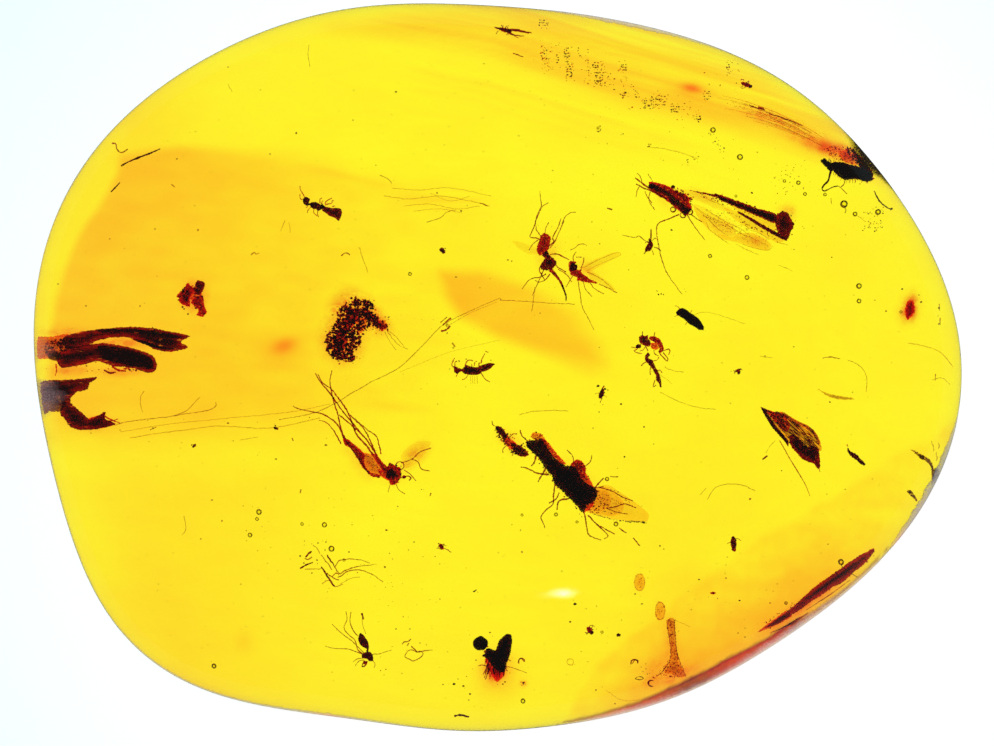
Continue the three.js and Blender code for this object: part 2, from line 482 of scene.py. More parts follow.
class Pile:
    """one inclusion: loose solids joined into one mesh. Points are x, y in pixels of the photograph, z in mm"""

    def __init__(self, name):
        self.name, self.v, self.f, self.m, self.t, self.mats = name, [], [], [], [], []

    def put(self, verts, faces, mat, thick):
        base = sum(len(x) for x in self.v)
        if mat not in self.mats:
            self.mats.append(mat)
        self.v.append(np.asarray(verts, float))
        self.t.append(np.broadcast_to(np.asarray(thick, float), (len(verts),)))
        self.f += [tuple(i + base for i in q) for q in faces]
        self.m += [self.mats.index(mat)] * len(faces)

    def make(self, smooth=True):
        v = np.concatenate(self.v)
        p = np.stack([(v[:, 0] - PX0) * PXMM, -(v[:, 1] - PY0) * PXMM, v[:, 2]], 1)
        # faces were wound in pixels, where y runs down
        o = mesh_object(self.name, keep_inside(warp(p)), [q[::-1] for q in self.f], self.mats, smooth, self.m)
        att = o.data.attributes.new("thick", "FLOAT", "POINT")
        att.data.foreach_set("value", np.concatenate(self.t).astype(np.float32))
        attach(o, "root")
        return o


def spline(pts, step=1.0):
    """a smooth line through the points, one point a step"""
    pts = np.asarray(pts, float)
    if len(pts) < 3:
        n = max(2, int(np.hypot(*(pts[-1] - pts[0])[:2]) / step) + 1)
        t = np.linspace(0, 1, n)[:, None]
        return pts[0] * (1 - t) + pts[-1] * t
    e = np.concatenate([[2 * pts[0] - pts[1]], pts, [2 * pts[-1] - pts[-2]]])
    out = []
    for i in range(1, len(e) - 2):
        n = max(1, int(np.hypot(*(e[i + 1] - e[i])[:2]) / step))
        for j in range(n):
            t = j / n
            out.append(0.5 * (2 * e[i] + (e[i + 1] - e[i - 1]) * t
                              + (2 * e[i - 1] - 5 * e[i] + 4 * e[i + 1] - e[i + 2]) * t * t
                              + (3 * e[i] - e[i - 1] - 3 * e[i + 1] + e[i + 2]) * t ** 3))
    out.append(e[-2])
    return np.array(out)


def tube(pile, pts, r, z, mat, thick=0.5, sides=6, step=1.3, zend=None, kink=0.0):
    """a tapered thread along the points; r in pixels at its start and end, or in its middle too"""
    p = spline(np.asarray(pts, float)[:, :2], step)
    n = len(p)
    s = np.linspace(0, 1, n)
    rr = np.interp(s, np.linspace(0, 1, len(r)), r) if hasattr(r, "__len__") else np.full(n, float(r))
    if hasattr(z, "__len__"):
        zz = np.interp(s, np.linspace(0, 1, len(z)), z)
    else:
        zz = z + ((zend if zend is not None else z) - z) * s
    rr = rr * np.clip(1 + 0.7 * noise_at(p, 0.8, 7.7), 0.4, 1.6)
    if mat in (legs, leg_red, hair):
        rr = rr * 0.85
    if kink:
        off = noise_at(p, 0.31, float(np.mean(z)))
        p = p + np.stack([off, -off], 1) * kink
    d = np.gradient(p, axis=0)
    d /= np.maximum(np.hypot(d[:, 0], d[:, 1]), 1e-6)[:, None]
    nx, ny = -d[:, 1], d[:, 0]
    v, f = [], []
    for k in range(sides):
        a = 2 * math.pi * k / sides
        v.append(np.stack([p[:, 0] + nx * rr * math.cos(a), p[:, 1] + ny * rr * math.cos(a),
                           zz + rr * PXMM * math.sin(a)], 1))
    v = np.concatenate(v)
    for k in range(sides):
        k2 = (k + 1) % sides
        for i in range(n - 1):
            f.append((k * n + i, k * n + i + 1, k2 * n + i + 1, k2 * n + i))
    f.append(tuple(k * n for k in range(sides))[::-1][::-1])
    f.append(tuple(k * n + n - 1 for k in range(sides))[::-1])
    pile.put(v, f, mat, thick)


def seg_dist(p, poly, closed=True):
    a = np.asarray(poly, float)
    b = np.roll(a, -1, 0) if closed else a[1:]
    a = a if closed else a[:-1]
    best = np.full(len(p), 1e9)
    for i in range(len(a)):
        ab = b[i] - a[i]
        t = np.clip(((p - a[i]) @ ab) / max(ab @ ab, 1e-12), 0, 1)
        q = p - (a[i] + t[:, None] * ab)
        best = np.minimum(best, np.hypot(q[:, 0], q[:, 1]))
    return best


def inside(p, poly):
    a = np.asarray(poly, float)
    b = np.roll(a, -1, 0)
    c = np.zeros(len(p), bool)
    for (x0, y0), (x1, y1) in zip(a, b):
        if y0 == y1:
            continue
        hit = ((y0 > p[:, 1]) != (y1 > p[:, 1])) & (p[:, 0] < (x1 - x0) * (p[:, 1] - y0) / (y1 - y0) + x0)
        c ^= hit
    return c


def dense(poly, step):
    poly = np.asarray(poly, float)
    e = np.concatenate([[poly[-1]], poly, poly[:2]])
    out = []
    for i in range(1, len(e) - 2):
        n = max(1, int(round(np.hypot(*(e[i + 1] - e[i])) / step)))
        for j in range(n):
            t = j / n
            c = 0.5 * (2 * e[i] + (e[i + 1] - e[i - 1]) * t
                       + (2 * e[i - 1] - 5 * e[i] + 4 * e[i + 1] - e[i + 2]) * t * t
                       + (3 * e[i] - e[i - 1] - 3 * e[i + 1] + e[i + 2]) * t ** 3)
            lin = e[i] * (1 - t) + e[i + 1] * t
            out.append(0.6 * c + 0.4 * lin)
    return np.array(out)


def flat_mesh(poly, step, rough=0.0, seed=0.0, holes=()):
    """fills an outline with small triangles: points, triangles, distance to the edge"""
    edge = dense(poly, step)
    if rough:
        n = noise_at(edge, 0.9 / max(step, 0.5), seed) + 0.6 * noise_at(edge, 2.1, seed + 3)
        d = np.roll(edge, -1, 0) - np.roll(edge, 1, 0)
        d /= np.maximum(np.hypot(d[:, 0], d[:, 1]), 1e-6)[:, None]
        edge = edge + np.stack([-d[:, 1], d[:, 0]], 1) * (n * rough)[:, None]
    lo, hi = edge.min(0), edge.max(0)
    xs = np.arange(lo[0], hi[0] + step, step)
    ys = np.arange(lo[1], hi[1] + step, step * 0.866)
    g = np.array([(x + (0.5 * step if j % 2 else 0), y) for j, y in enumerate(ys) for x in xs])
    if len(g):
        g = g + RNG.uniform(-0.12, 0.12, g.shape) * step
        g = g[inside(g, edge)]
    if len(g):
        g = g[seg_dist(g, edge) > 0.45 * step]
    loops = [edge] + [dense(h, step) for h in holes]
    for h in loops[1:]:
        if len(g):
            g = g[~inside(g, h)]
            g = g[seg_dist(g, h) > 0.4 * step]
    pts, edges, faces = [], [], []
    for lp in loops:
        s = len(pts)
        pts += [Vector(q) for q in lp]
        edges += [(s + i, s + (i + 1) % len(lp)) for i in range(len(lp))]
    nb = len(pts)
    pts += [Vector(q) for q in g]
    faces = [list(range(len(edge)))]
    vs, _, fs, _, _, _ = delaunay_2d_cdt(pts, edges, [], 0, 1e-5)
    p = np.array([(q[0], q[1]) for q in vs])
    tri = [tuple(q) for q in fs if len(q) == 3]
    c = np.array([p[list(q)].mean(0) for q in tri]) if tri else np.zeros((0, 2))
    ok = inside(c, edge)
    for h in loops[1:]:
        ok &= ~inside(c, h)
    tri = [q for q, k in zip(tri, ok) if k]
    used = sorted({i for q in tri for i in q})
    idx = {u: i for i, u in enumerate(used)}
    p = p[used]
    tri = [tuple(idx[i] for i in q) for q in tri]
    out = []
    for q in tri:
        (x0, y0), (x1, y1), (x2, y2) = p[list(q)]
        out.append(q if (x1 - x0) * (y2 - y0) - (y1 - y0) * (x2 - x0) > 0 else q[::-1])
    d = seg_dist(p, edge)
    for h in loops[1:]:
        d = np.minimum(d, seg_dist(p, h))
    return p, out, d


def pillow(pile, poly, z, mat, fat=1.0, step=0.9, rough=0.3, lump=0.15, seed=0.0, tilt=(0.0, 0.0), ridges=None,
           width=None, holes=(), thick=None, floor=0.0):
    """a closed solid that swells from its outline; fat is its thickness over its width"""
    p, tri, d = flat_mesh(poly, step, rough, seed, holes)
    if not tri:
        return
    w = width or max(d.max(), 0.3)
    u = np.clip(d / w, 0, 1)
    h = np.sqrt(np.clip(1 - (1 - u) ** 2, 0, 1))
    t = h * (1 + lump * noise_at(p, 0.45, seed + 11) * 2)
    if ridges:
        (dx, dy), period, amp = ridges
        t = t * (1 + amp * np.sin((p[:, 0] * dx + p[:, 1] * dy) * 2 * math.pi / period))
    t = np.clip(t, 0, None) * w * PXMM * fat
    cx, cy = p.mean(0)
    zc = z + (p[:, 0] - cx) * PXMM * tilt[0] + (p[:, 1] - cy) * PXMM * tilt[1]
    on = d < 1e-4
    t[on] = 0
    n = len(p)
    low = {}
    verts = [(*q, zz + tt) for q, zz, tt in zip(p, zc, t)]
    th = list(u ** 0.75 if thick is None else h * 0 + thick)
    for i in range(n):
        if on[i]:
            low[i] = i
        else:
            low[i] = len(verts)
            verts.append((p[i, 0], p[i, 1], zc[i] - t[i] * 0.8))
            th.append(th[i])
    th = np.clip(np.array(th), floor, 1)
    faces = list(tri) + [(low[c], low[b], low[a]) for a, b, c in tri]
    pile.put(verts, faces, mat, th)


def dots(pile, pts, r, z, mat, gap=1.3, jitter=0.4, thick=0.8):
    """a row of small grains along the points"""
    for x, y in spline(np.asarray(pts, float)[:, :2], gap):
        grain(pile, x + RNG.normal(0, jitter), y + RNG.normal(0, jitter), r * RNG.uniform(0.6, 1.3), z, mat, thick)


def scatter(pile, poly, n, r, z, mats, thick=0.8):
    """grains strewn inside an outline"""
    q = np.asarray(poly, float)
    k = 0
    while k < n:
        c = RNG.uniform(q.min(0), q.max(0))
        if inside(c[None], q)[0]:
            grain(pile, c[0], c[1], RNG.uniform(*r), z + RNG.uniform(-0.1, 0.15), mats[RNG.randint(len(mats))], thick)
            k += 1


def ball(pile, c, r, z, mat, lump=0.12, seed=0.0, thick=None, n=14, fat=1.0, turn=0.0):
    rx, ry = (r if hasattr(r, "__len__") else (r, r))
    m = n // 2
    la, lo = np.meshgrid(np.arange(m + 1) * math.pi / m, np.arange(n) * 2 * math.pi / n, indexing="ij")
    x, y, w = (np.sin(la) * np.cos(lo)).ravel(), (np.sin(la) * np.sin(lo)).ravel(), np.cos(la).ravel()
    k = 1 + lump * noise3(np.stack([x * 1.7 + seed, y * 1.7, w * 1.7], 1)) * 2
    k[:n], k[-n:] = k[0], k[-1]
    ca, sa = math.cos(turn), math.sin(turn)
    ex, ey = x * rx * k, y * ry * k
    verts = np.stack([c[0] + ex * ca - ey * sa, c[1] + ex * sa + ey * ca, z + w * k * (rx + ry) / 2 * PXMM * fat], 1)
    th = np.abs(w) ** 0.7 if thick is None else thick
    faces = []
    for i in range(m):
        for j in range(n):
            j2 = (j + 1) % n
            a, b, c2, d = i * n + j, i * n + j2, (i + 1) * n + j2, (i + 1) * n + j
            faces.append((a, c2, d) if i == 0 else (a, b, d) if i == m - 1 else (a, b, c2, d))
    pile.put(verts, faces, mat, th)


def grain(pile, x, y, r, z, mat, thick=0.8):
    """a small crumb with eight corners knocked about"""
    q = []
    rot = RNG.uniform(0, math.pi)
    k = RNG.uniform(0.7, 1.3, 8)
    sx, sy = RNG.uniform(0.75, 1.35), RNG.uniform(0.7, 1.1)
    for i in range(6):
        a = rot + i * math.pi / 3
        q.append((x + r * k[i] * sx * math.cos(a), y + r * k[i] * sy * math.sin(a), z + RNG.uniform(-0.3, 0.3) * r * PXMM))
    q.append((x, y, z + r * PXMM * 0.9))
    q.append((x, y, z - r * PXMM * 0.9))
    f = []
    for i in range(6):
        j = (i + 1) % 6
        f += [(i, j, 6), (j, i, 7)]
    pile.put(q, f, mat, thick)


def membrane(pile, poly, z, mat, step=1.4, wave=0.25, seed=0.0, tilt=(0.0, 0.0), rough=0.1, holes=(), thin=0.25):
    """a wing or a thin flake: two skins a hair apart"""
    p, tri, d = flat_mesh(poly, step, rough, seed, holes)
    if not tri:
        return
    cx, cy = p.mean(0)
    zc = z + wave * noise_at(p, 0.06, seed) + (p[:, 0] - cx) * PXMM * tilt[0] + (p[:, 1] - cy) * PXMM * tilt[1]
    n = len(p)
    half = thin * PXMM * np.minimum(d / 0.8, 1)
    on = d < 1e-4
    verts = [(*q, zz + h) for q, zz, h in zip(p, zc, half)]
    th = list(np.clip(d / max(d.max(), 0.3), 0, 1))
    low = {}
    for i in range(n):
        if on[i]:
            low[i] = i
        else:
            low[i] = len(verts)
            verts.append((p[i, 0], p[i, 1], zc[i] - half[i]))
            th.append(th[i])
    pile.put(verts, list(tri) + [(low[c], low[b], low[a]) for a, b, c in tri], mat, th)


def inset_poly(p, k):
    p = np.asarray(p, float)
    return p.mean(0) + (p - p.mean(0)) * k


# ---------------------------------------------------------------------------
# Materials of what is sealed in: light comes through where a piece is thin
# ---------------------------------------------------------------------------
def remains(name, dark, dark2, tint, tint2, thin_op, full_op, mid=0.45, scale=9000, vary=0.35, rough=0.5, bump=0.4,
            grain_dir=0.0, grain_len=1.0, glint=0.0, glint_tint=(0.99, 0.66, 0.45), glint_at=0.60, glint_scale=15000):
    m, nt, out = new_mat(name)
    L = nt.links.new
    co = add(nt, "ShaderNodeTexCoord")
    # the grain runs right through a piece, along its fibres
    mp = add(nt, "ShaderNodeMapping", {"Rotation": (0, 0, grain_dir), "Scale": (grain_len, 1, 1e5)}, vector_type="TEXTURE")
    L(co.outputs["Object"], mp.inputs[0])
    src = mp.outputs[0]
    n1 = add(nt, "ShaderNodeTexNoise", {"Scale": scale, "Detail": 4.0, "Roughness": 0.6})
    n2 = add(nt, "ShaderNodeTexNoise", {"Scale": scale * 0.33, "Detail": 3.0, "Roughness": 0.55})
    n3 = add(nt, "ShaderNodeTexNoise", {"Scale": glint_scale, "Detail": 2.0, "Roughness": 0.5})
    for n in (n1, n2, n3):
        L(src, n.inputs["Vector"])
    at = add(nt, "ShaderNodeAttribute", attribute_name="thick")
    w1 = add(nt, "ShaderNodeMath", {1: 0.5}, operation="SUBTRACT")
    L(n1.outputs["Fac"], w1.inputs[0])
    w2 = add(nt, "ShaderNodeMath", {1: vary * 2}, operation="MULTIPLY")
    L(w1.outputs[0], w2.inputs[0])
    w3 = add(nt, "ShaderNodeMath", operation="ADD")
    L(w2.outputs[0], w3.inputs[0])
    L(at.outputs["Fac"], w3.inputs[1])
    ramp = add(nt, "ShaderNodeMapRange", {"From Min": mid - 0.5, "From Max": mid + 0.5, "To Min": thin_op, "To Max": full_op})
    L(w3.outputs[0], ramp.inputs["Value"])
    gm = add(nt, "ShaderNodeMapRange", {"From Min": glint_at, "From Max": glint_at + 0.07, "To Min": 0.0, "To Max": 1.0})
    L(n3.outputs["Fac"], gm.inputs["Value"])
    g1 = add(nt, "ShaderNodeMath", {1: -glint, 2: 1.0}, operation="MULTIPLY_ADD")
    L(gm.outputs[0], g1.inputs[0])
    op = add(nt, "ShaderNodeMath", operation="MULTIPLY", use_clamp=True)
    L(ramp.outputs[0], op.inputs[0])
    L(g1.outputs[0], op.inputs[1])
    mixc = add(nt, "ShaderNodeMixRGB", {1: (*tint, 1), 2: (*tint2, 1)})
    L(n2.outputs["Fac"], mixc.inputs[0])
    mixg = add(nt, "ShaderNodeMixRGB", {2: (*glint_tint, 1)})
    L(gm.outputs[0], mixg.inputs[0])
    L(mixc.outputs[0], mixg.inputs[1])
    mixd = add(nt, "ShaderNodeMixRGB", {1: (*dark, 1), 2: (*dark2, 1)})
    L(n2.outputs["Fac"], mixd.inputs[0])
    tr = add(nt, "ShaderNodeBsdfTransparent")
    L((mixg if glint else mixc).outputs[0], tr.inputs[0])
    pb = add(nt, "ShaderNodeBsdfPrincipled", {"Roughness": rough, "IOR": 1.45, "Specular IOR Level": 0.15})
    L(mixd.outputs[0], pb.inputs["Base Color"])
    rr = add(nt, "ShaderNodeMapRange", {"To Min": rough - 0.15, "To Max": rough + 0.2})
    L(n1.outputs["Fac"], rr.inputs["Value"])
    L(rr.outputs[0], pb.inputs["Roughness"])
    bp = add(nt, "ShaderNodeBump", {"Strength": bump, "Distance": 0.00002})
    L(n1.outputs["Fac"], bp.inputs["Height"])
    L(bp.outputs[0], pb.inputs["Normal"])
    mx = add(nt, "ShaderNodeMixShader")
    L(op.outputs[0], mx.inputs[0])
    L(tr.outputs[0], mx.inputs[1])
    L(pb.outputs[0], mx.inputs[2])
    L(mx.outputs[0], out.inputs[0])
    m.surface_render_method = "BLENDED"
    return m


black = remains("chitin black", (0.020, 0.001, 0.002), (0.05, 0.003, 0.005), (0.80, 0.08, 0.05), (0.55, 0.03, 0.03), 0.35, 1.0, 0.18, vary=0.5, glint=0.25, glint_at=0.66)
chitin = remains("chitin dark", (0.12, 0.003, 0.006), (0.24, 0.006, 0.010), (0.86, 0.08, 0.05), (0.70, 0.025, 0.03), 0.25, 0.86, 0.40, vary=0.9, glint=0.5, glint_at=0.60)
maroon = remains("chitin maroon", (0.30, 0.008, 0.016), (0.42, 0.014, 0.020), (0.90, 0.10, 0.06), (0.80, 0.035, 0.04), 0.12, 0.66, 0.52, vary=1.1, glint=0.5, glint_at=0.57, glint_tint=(0.98, 0.50, 0.40))
ruddy = remains("chitin red brown", (0.45, 0.04, 0.03), (0.36, 0.02, 0.02), (0.97, 0.32, 0.13), (0.92, 0.15, 0.08), 0.04, 0.40, 0.60, vary=1.2, glint=0.5, glint_at=0.57, glint_tint=(1.0, 0.7, 0.5))
orange = remains("chitin orange", (0.75, 0.20, 0.06), (0.6, 0.09, 0.03), (0.99, 0.70, 0.40), (0.97, 0.48, 0.22), 0.02, 0.22, 0.62, vary=1.1, glint=0.5, glint_at=0.58)
legs = remains("leg", (0.22, 0.05, 0.016), (0.30, 0.08, 0.02), (0.94, 0.52, 0.22), (0.84, 0.32, 0.12), 0.10, 0.50, 0.55, vary=1.1)
leg_red = remains("leg red", (0.36, 0.03, 0.02), (0.28, 0.02, 0.015), (0.95, 0.36, 0.15), (0.87, 0.18, 0.08), 0.10, 0.52, 0.55, vary=1.1)
hair = remains("hair", (0.28, 0.16, 0.04), (0.34, 0.19, 0.05), (0.975, 0.82, 0.55), (0.945, 0.73, 0.42), 0.02, 0.36, 0.5, vary=1.1)
faint = remains("faint line", (0.40, 0.22, 0.05), (0.36, 0.20, 0.05), (0.985, 0.86, 0.66), (0.96, 0.80, 0.55), 0.0, 0.20, 0.5, vary=1.1)
olive = remains("olive line", (0.16, 0.09, 0.02), (0.10, 0.045, 0.015), (0.93, 0.70, 0.34), (0.80, 0.50, 0.2), 0.20, 0.92, 0.45, vary=1.2, glint=0.6, glint_at=0.57, glint_tint=(0.99, 0.85, 0.6))
wing = remains("wing membrane", (0.70, 0.22, 0.07), (0.52, 0.12, 0.04), (0.996, 0.91, 0.82), (0.985, 0.82, 0.64), 0.00, 0.06, 0.5, scale=9000, vary=0.9)
wing_pale = remains("wing membrane pale", (0.50, 0.25, 0.08), (0.4, 0.18, 0.05), (0.998, 0.955, 0.90), (0.992, 0.90, 0.80), 0.00, 0.04, 0.5, scale=9000, vary=0.9)
wing_red = remains("wing base", (0.60, 0.10, 0.04), (0.5, 0.06, 0.03), (0.99, 0.66, 0.36), (0.96, 0.44, 0.20), 0.02, 0.30, 0.6, scale=9000, vary=1.2, glint=0.4, glint_at=0.58)
# a pale grey film, also used for pale streaks and specks that are painted highlights (glints) on insects, twigs, the
# leaf and the flake
pale_film_and_glints = remains("crack film and painted glints", (0.42, 0.38, 0.36), (0.32, 0.26, 0.24), (0.86, 0.80, 0.8), (0.70, 0.62, 0.6), 0.10, 0.62, 0.5, scale=9000, vary=1.2, glint=0.7, glint_at=0.55, glint_tint=(0.98, 0.95, 0.9))


def stain_mat(name, tint, tint2, scale=2600, amount=1.0, vary=0.5, stretch=None):
    """a cloud in the resin that only tints what is seen through it"""
    m, nt, out = new_mat(name)
    L = nt.links.new
    co = add(nt, "ShaderNodeTexCoord")
    src = co.outputs["Object"]
    if stretch:
        mp = add(nt, "ShaderNodeMapping", {"Rotation": (0, 0, stretch[0]), "Scale": (stretch[1], stretch[2], 1)})
        L(src, mp.inputs[0])
        src = mp.outputs[0]
    n1 = add(nt, "ShaderNodeTexNoise", {"Scale": scale, "Detail": 5.0, "Roughness": 0.6})
    L(src, n1.inputs["Vector"])
    at = add(nt, "ShaderNodeAttribute", attribute_name="thick")
    mr = add(nt, "ShaderNodeMapRange", {"From Min": 0.3, "From Max": 0.7, "To Min": 1 - vary, "To Max": 1 + vary})
    L(n1.outputs["Fac"], mr.inputs["Value"])
    mu = add(nt, "ShaderNodeMath", {1: amount}, operation="MULTIPLY", use_clamp=True)
    m2 = add(nt, "ShaderNodeMath", operation="MULTIPLY")
    L(at.outputs["Fac"], m2.inputs[0])
    L(mr.outputs[0], m2.inputs[1])
    L(m2.outputs[0], mu.inputs[0])
    c = add(nt, "ShaderNodeMixRGB", {1: (*tint, 1), 2: (*tint2, 1)})
    L(n1.outputs["Fac"], c.inputs[0])
    c2 = add(nt, "ShaderNodeMixRGB", {1: (1, 1, 1, 1)})
    L(mu.outputs[0], c2.inputs[0])
    L(c.outputs[0], c2.inputs[2])
    tr = add(nt, "ShaderNodeBsdfTransparent")
    L(c2.outputs[0], tr.inputs[0])
    L(tr.outputs[0], out.inputs[0])
    m.surface_render_method = "BLENDED"
    return m


stain_orange = stain_mat("stain orange", (0.97, 0.55, 0.9), (0.90, 0.40, 0.7))
stain_red = stain_mat("stain red", (0.92, 0.22, 0.5), (0.80, 0.10, 0.3))
stain_grey = stain_mat("stain grey", (0.45, 0.40, 0.9), (0.30, 0.26, 0.7))


def halo(pile, c, r, z, mat, turn=0.0, power=1.0, soft=1.0, n=26):
    """a soft round cloud"""
    rx, ry = (r if hasattr(r, "__len__") else (r, r))
    v, f, th = [(c[0], c[1], z)], [], [1.0]
    ca, sa = math.cos(turn), math.sin(turn)
    R = 12
    ja = 2 * math.pi * np.arange(n) / n
    kk = 1 + 0.18 * noise3(np.stack([np.cos(ja) * 1.3 + c[0], np.sin(ja) * 1.3, 0 * ja + c[1]], 1))
    for i in range(1, R + 1):
        q = i / R
        for j in range(n):
            a = 2 * math.pi * j / n
            k = kk[j]
            ex, ey = rx * 1.6 * q * k * math.cos(a), ry * 1.6 * q * k * math.sin(a)
            v.append((c[0] + ex * ca - ey * sa, c[1] + ex * sa + ey * ca, z))
            th.append(power * max(0.0, math.exp(-(q * 1.6) ** 2 * 1.4 / soft) * (1 - q ** 4)))
    for j in range(n):
        j2 = (j + 1) % n
        f.append((0, 1 + j, 1 + j2))
        for i in range(R - 1):
            f.append((1 + i * n + j, 1 + (i + 1) * n + j, 1 + (i + 1) * n + j2, 1 + i * n + j2))
    th[0] = power
    pile.put(v, f, mat, th)

# ---------------------------------------------------------------------------
# Clouds and flow layers in the resin: a thin curved sheet near the base that tints what is seen through it
# ---------------------------------------------------------------------------
def smooth(a, b, x):
    t = np.clip((x - a) / (b - a), 0, 1)
    return t * t * (3 - 2 * t)


def blob(x, y, cx, cy, rx, ry, turn=0.0):
    c, s = math.cos(turn), math.sin(turn)
    u, v = (x - cx) * c + (y - cy) * s, -(x - cx) * s + (y - cy) * c
    return np.exp(-(u / rx) ** 2 - (v / ry) ** 2)


def soft_in(p, poly, w):
    """1 inside the outline, 0 outside, over w pixels"""
    d = seg_dist(p, poly) * np.where(inside(p, poly), 1, -1)
    return smooth(-w, w, d)


def line_off(p, line):
    """offset from a line, plus on its lower side, and the run along it"""
    a = np.asarray(line, float)
    best, off, run = np.full(len(p), 1e9), np.zeros(len(p)), np.zeros(len(p))
    acc = 0.0
    for i in range(len(a) - 1):
        ab = a[i + 1] - a[i]
        ln = math.hypot(*ab)
        raw = ((p - a[i]) @ ab) / ln ** 2
        t = np.clip(raw, 0 if i else -9, 1 if i < len(a) - 2 else 9)
        q = p - (a[i] + t[:, None] * ab)
        d = np.hypot(q[:, 0], q[:, 1])
        sgn = np.sign(ab[0] * (p[:, 1] - a[i, 1]) - ab[1] * (p[:, 0] - a[i, 0]))
        m = d < best
        best[m], off[m], run[m] = d[m], (d * sgn)[m], (acc + t * ln)[m]
        acc += ln
    return off, run


LEFT_ZONE = [(120, 155), (118, 172), (109, 190), (100, 206), (89, 220), (79, 236), (70, 255), (64, 275), (57, 297), (51, 335), (47, 385), (48, 438), (110, 442), (200, 436), (330, 428), (420, 405), (480, 360), (520, 280), (500, 215), (440, 192), (385, 181), (340, 167), (300, 157), (230, 150), (180, 147), (150, 150)]
TEAR = [(441, 272), (480, 272), (530, 287), (575, 315), (596, 343), (602, 362), (590, 366), (552, 355), (500, 338), (462, 318), (446, 296)]
TOP_LINE = [(300, 14), (380, 24), (494, 46), (599, 80), (685, 104), (765, 128), (850, 158)]
LOW_LINE = [(1000, 395), (905, 452), (870, 476), (790, 519), (735, 556), (690, 590), (640, 630), (600, 665), (560, 730)]


def tone_at(p):
    """the broad warmth of the skin, 0 to 1"""
    x, y = p[:, 0], p[:, 1]
    off, _ = line_off(p, LOW_LINE)
    t = 0.9 * blob(x, y, 140, 285, 150, 130) + 0.35 * blob(x, y, 60, 560, 170, 130) + 0.5 * blob(x, y, 620, 50, 260, 40, 0.2)
    t = t + 0.9 * smooth(-10, 110, -off)
    return np.clip(t, 0, 1)


def fade_at(p):
    """how far the green falls below the clearest resin, as a step of 0-255"""
    x, y = p[:, 0], p[:, 1]
    n1 = noise_at(p, 0.012, 1.0)
    n2 = noise_at(p * [1.0, 2.2], 0.03, 2.0)
    n3 = noise_at(p * [0.35, 1.0] + [0, 0], 0.09, 3.0)
    d = 10 - 10 * blob(x, y, 600, 180, 150, 60, 0.15) + 5 * smooth(540, 700, y) + 4 * n1 + 2.0 * n2
    d += 19 * smooth(400, 140, x) * smooth(430, 500, y) * (1 - 0.6 * smooth(150, 60, x - (y - 500) * 0.25))
    left = soft_in(p, LEFT_ZONE, 6.0 + 16 * smooth(150, 420, x) + 22 * smooth(390, 440, y))
    rim_edge = blob(x, y, 108, 228, 16, 34, 0.5)
    d += left * (1 - smooth(330, 520, x)) * (33 - 20 * smooth(180, 400, x) + 8 * rim_edge + 5 * n2 + 3 * n3 + 6 * blob(x, y, 210, 185, 80, 26))
    d += 8 * smooth(300, 120, x) * smooth(130, 180, y) * smooth(440, 380, y)
    d += 16 * blob(x, y, 140, 130, 60, 46)
    tear = soft_in(p, TEAR, 9.0 + 8 * smooth(520, 600, x))
    d += tear * (34 + 16 * smooth(-30, 60, (y - 300) - (x - 460) * 0.45) + 5 * n2) + 12 * blob(x, y, 470, 290, 46, 20, 0.3) + 8 * blob(x, y, 560, 350, 60, 16, 0.5)
    d += 50 * blob(x, y, 284.5, 345.5, 12, 7, -0.35) + 20 * blob(x, y, 281, 352, 24, 18)
    off, run = line_off(p, TOP_LINE)
    ang = np.stack([run * 0.006, off * 0.14], 1)
    s1 = noise_at(ang, 1.0, 5.0)
    s2 = noise_at(np.stack([run * 0.012, off * 0.33], 1), 1.0, 6.0)
    band = smooth(22, 2, off)
    d += band * (20 + 16 * s1 + 12 * s2) * (0.75 + 0.25 * smooth(420, 560, x)) * smooth(330, 420, x + off * 2)
    d += 16 * blob(x, y, 585, 68, 60, 17, 0.25) + 20 * blob(x, y, 700, 108, 60, 12, 0.25) + 20 * blob(x, y, 815, 140, 34, 12, 0.45)
    d += 80 * blob(x, y, 692, 88, 9.5, 4.5, 0.15) + 22 * blob(x, y, 690, 92, 24, 9, 0.2)
    d += 13 * smooth(300, 340, x) * blob(x, y, 430, 27, 130, 14)
    d += 15 * blob(x, y, 524, 47, 34, 14, 0.2) + 10 * blob(x, y, 620, 80, 34, 9, 0.25) + 8 * blob(x, y, 640, 106, 34, 9, 0.25)
    d -= 9 * blob(x, y, 650, 40, 60, 13, 0.25)
    d -= 18 * blob(x, y, 722, 50, 52, 10, 0.36) + 24 * blob(x, y, 796, 86, 46, 11, 0.72)
    # fine lines of flow below the band
    for k, (o, w, amp) in enumerate([(38, 3.0, 8), (30, 2.4, -5), (47, 3.2, 5), (58, 3.0, 4)]):
        wob = noise_at(np.stack([run * 0.01, run * 0 + k], 1), 1.0, 9.0) * 5
        d += amp * np.exp(-((off - o - wob) / w) ** 2) * smooth(80, 160, run) * smooth(480, 380, run)
    lo, lrun = line_off(p, LOW_LINE)
    lo = -lo + 5 * n1 + 3 * noise_at(p, 0.06, 8.0)
    low = smooth(-5, 5, lo)
    d += low * (12 + 7 * n2 + 5 * noise_at(p, 0.11, 9.0)) + 34 * smooth(0, 75, lo) * smooth(900, 800, x) + 14 * smooth(20, 90, lo)
    d += 16 * blob(x, y, 668, 640, 34, 40) + 26 * blob(x, y, 500, 676, 20, 22) + 10 * blob(x, y, 700, 585, 40, 16)
    d += 12 * blob(x, y, 244, 642, 9, 12) + 10 * blob(x, y, 395, 407, 30, 5, 0.1)
    # ripples beside the clear streak
    rp = noise_at(np.stack([(x - y * 0.2) * 0.02, y * 0.22], 1), 1.0, 12.0)
    d += (9 + 16 * rp) * blob(x, y, 440, 199, 52, 12, 0.05)
    d += 13 * blob(x, y, 345, 176, 42, 4, 0.22)
    return d


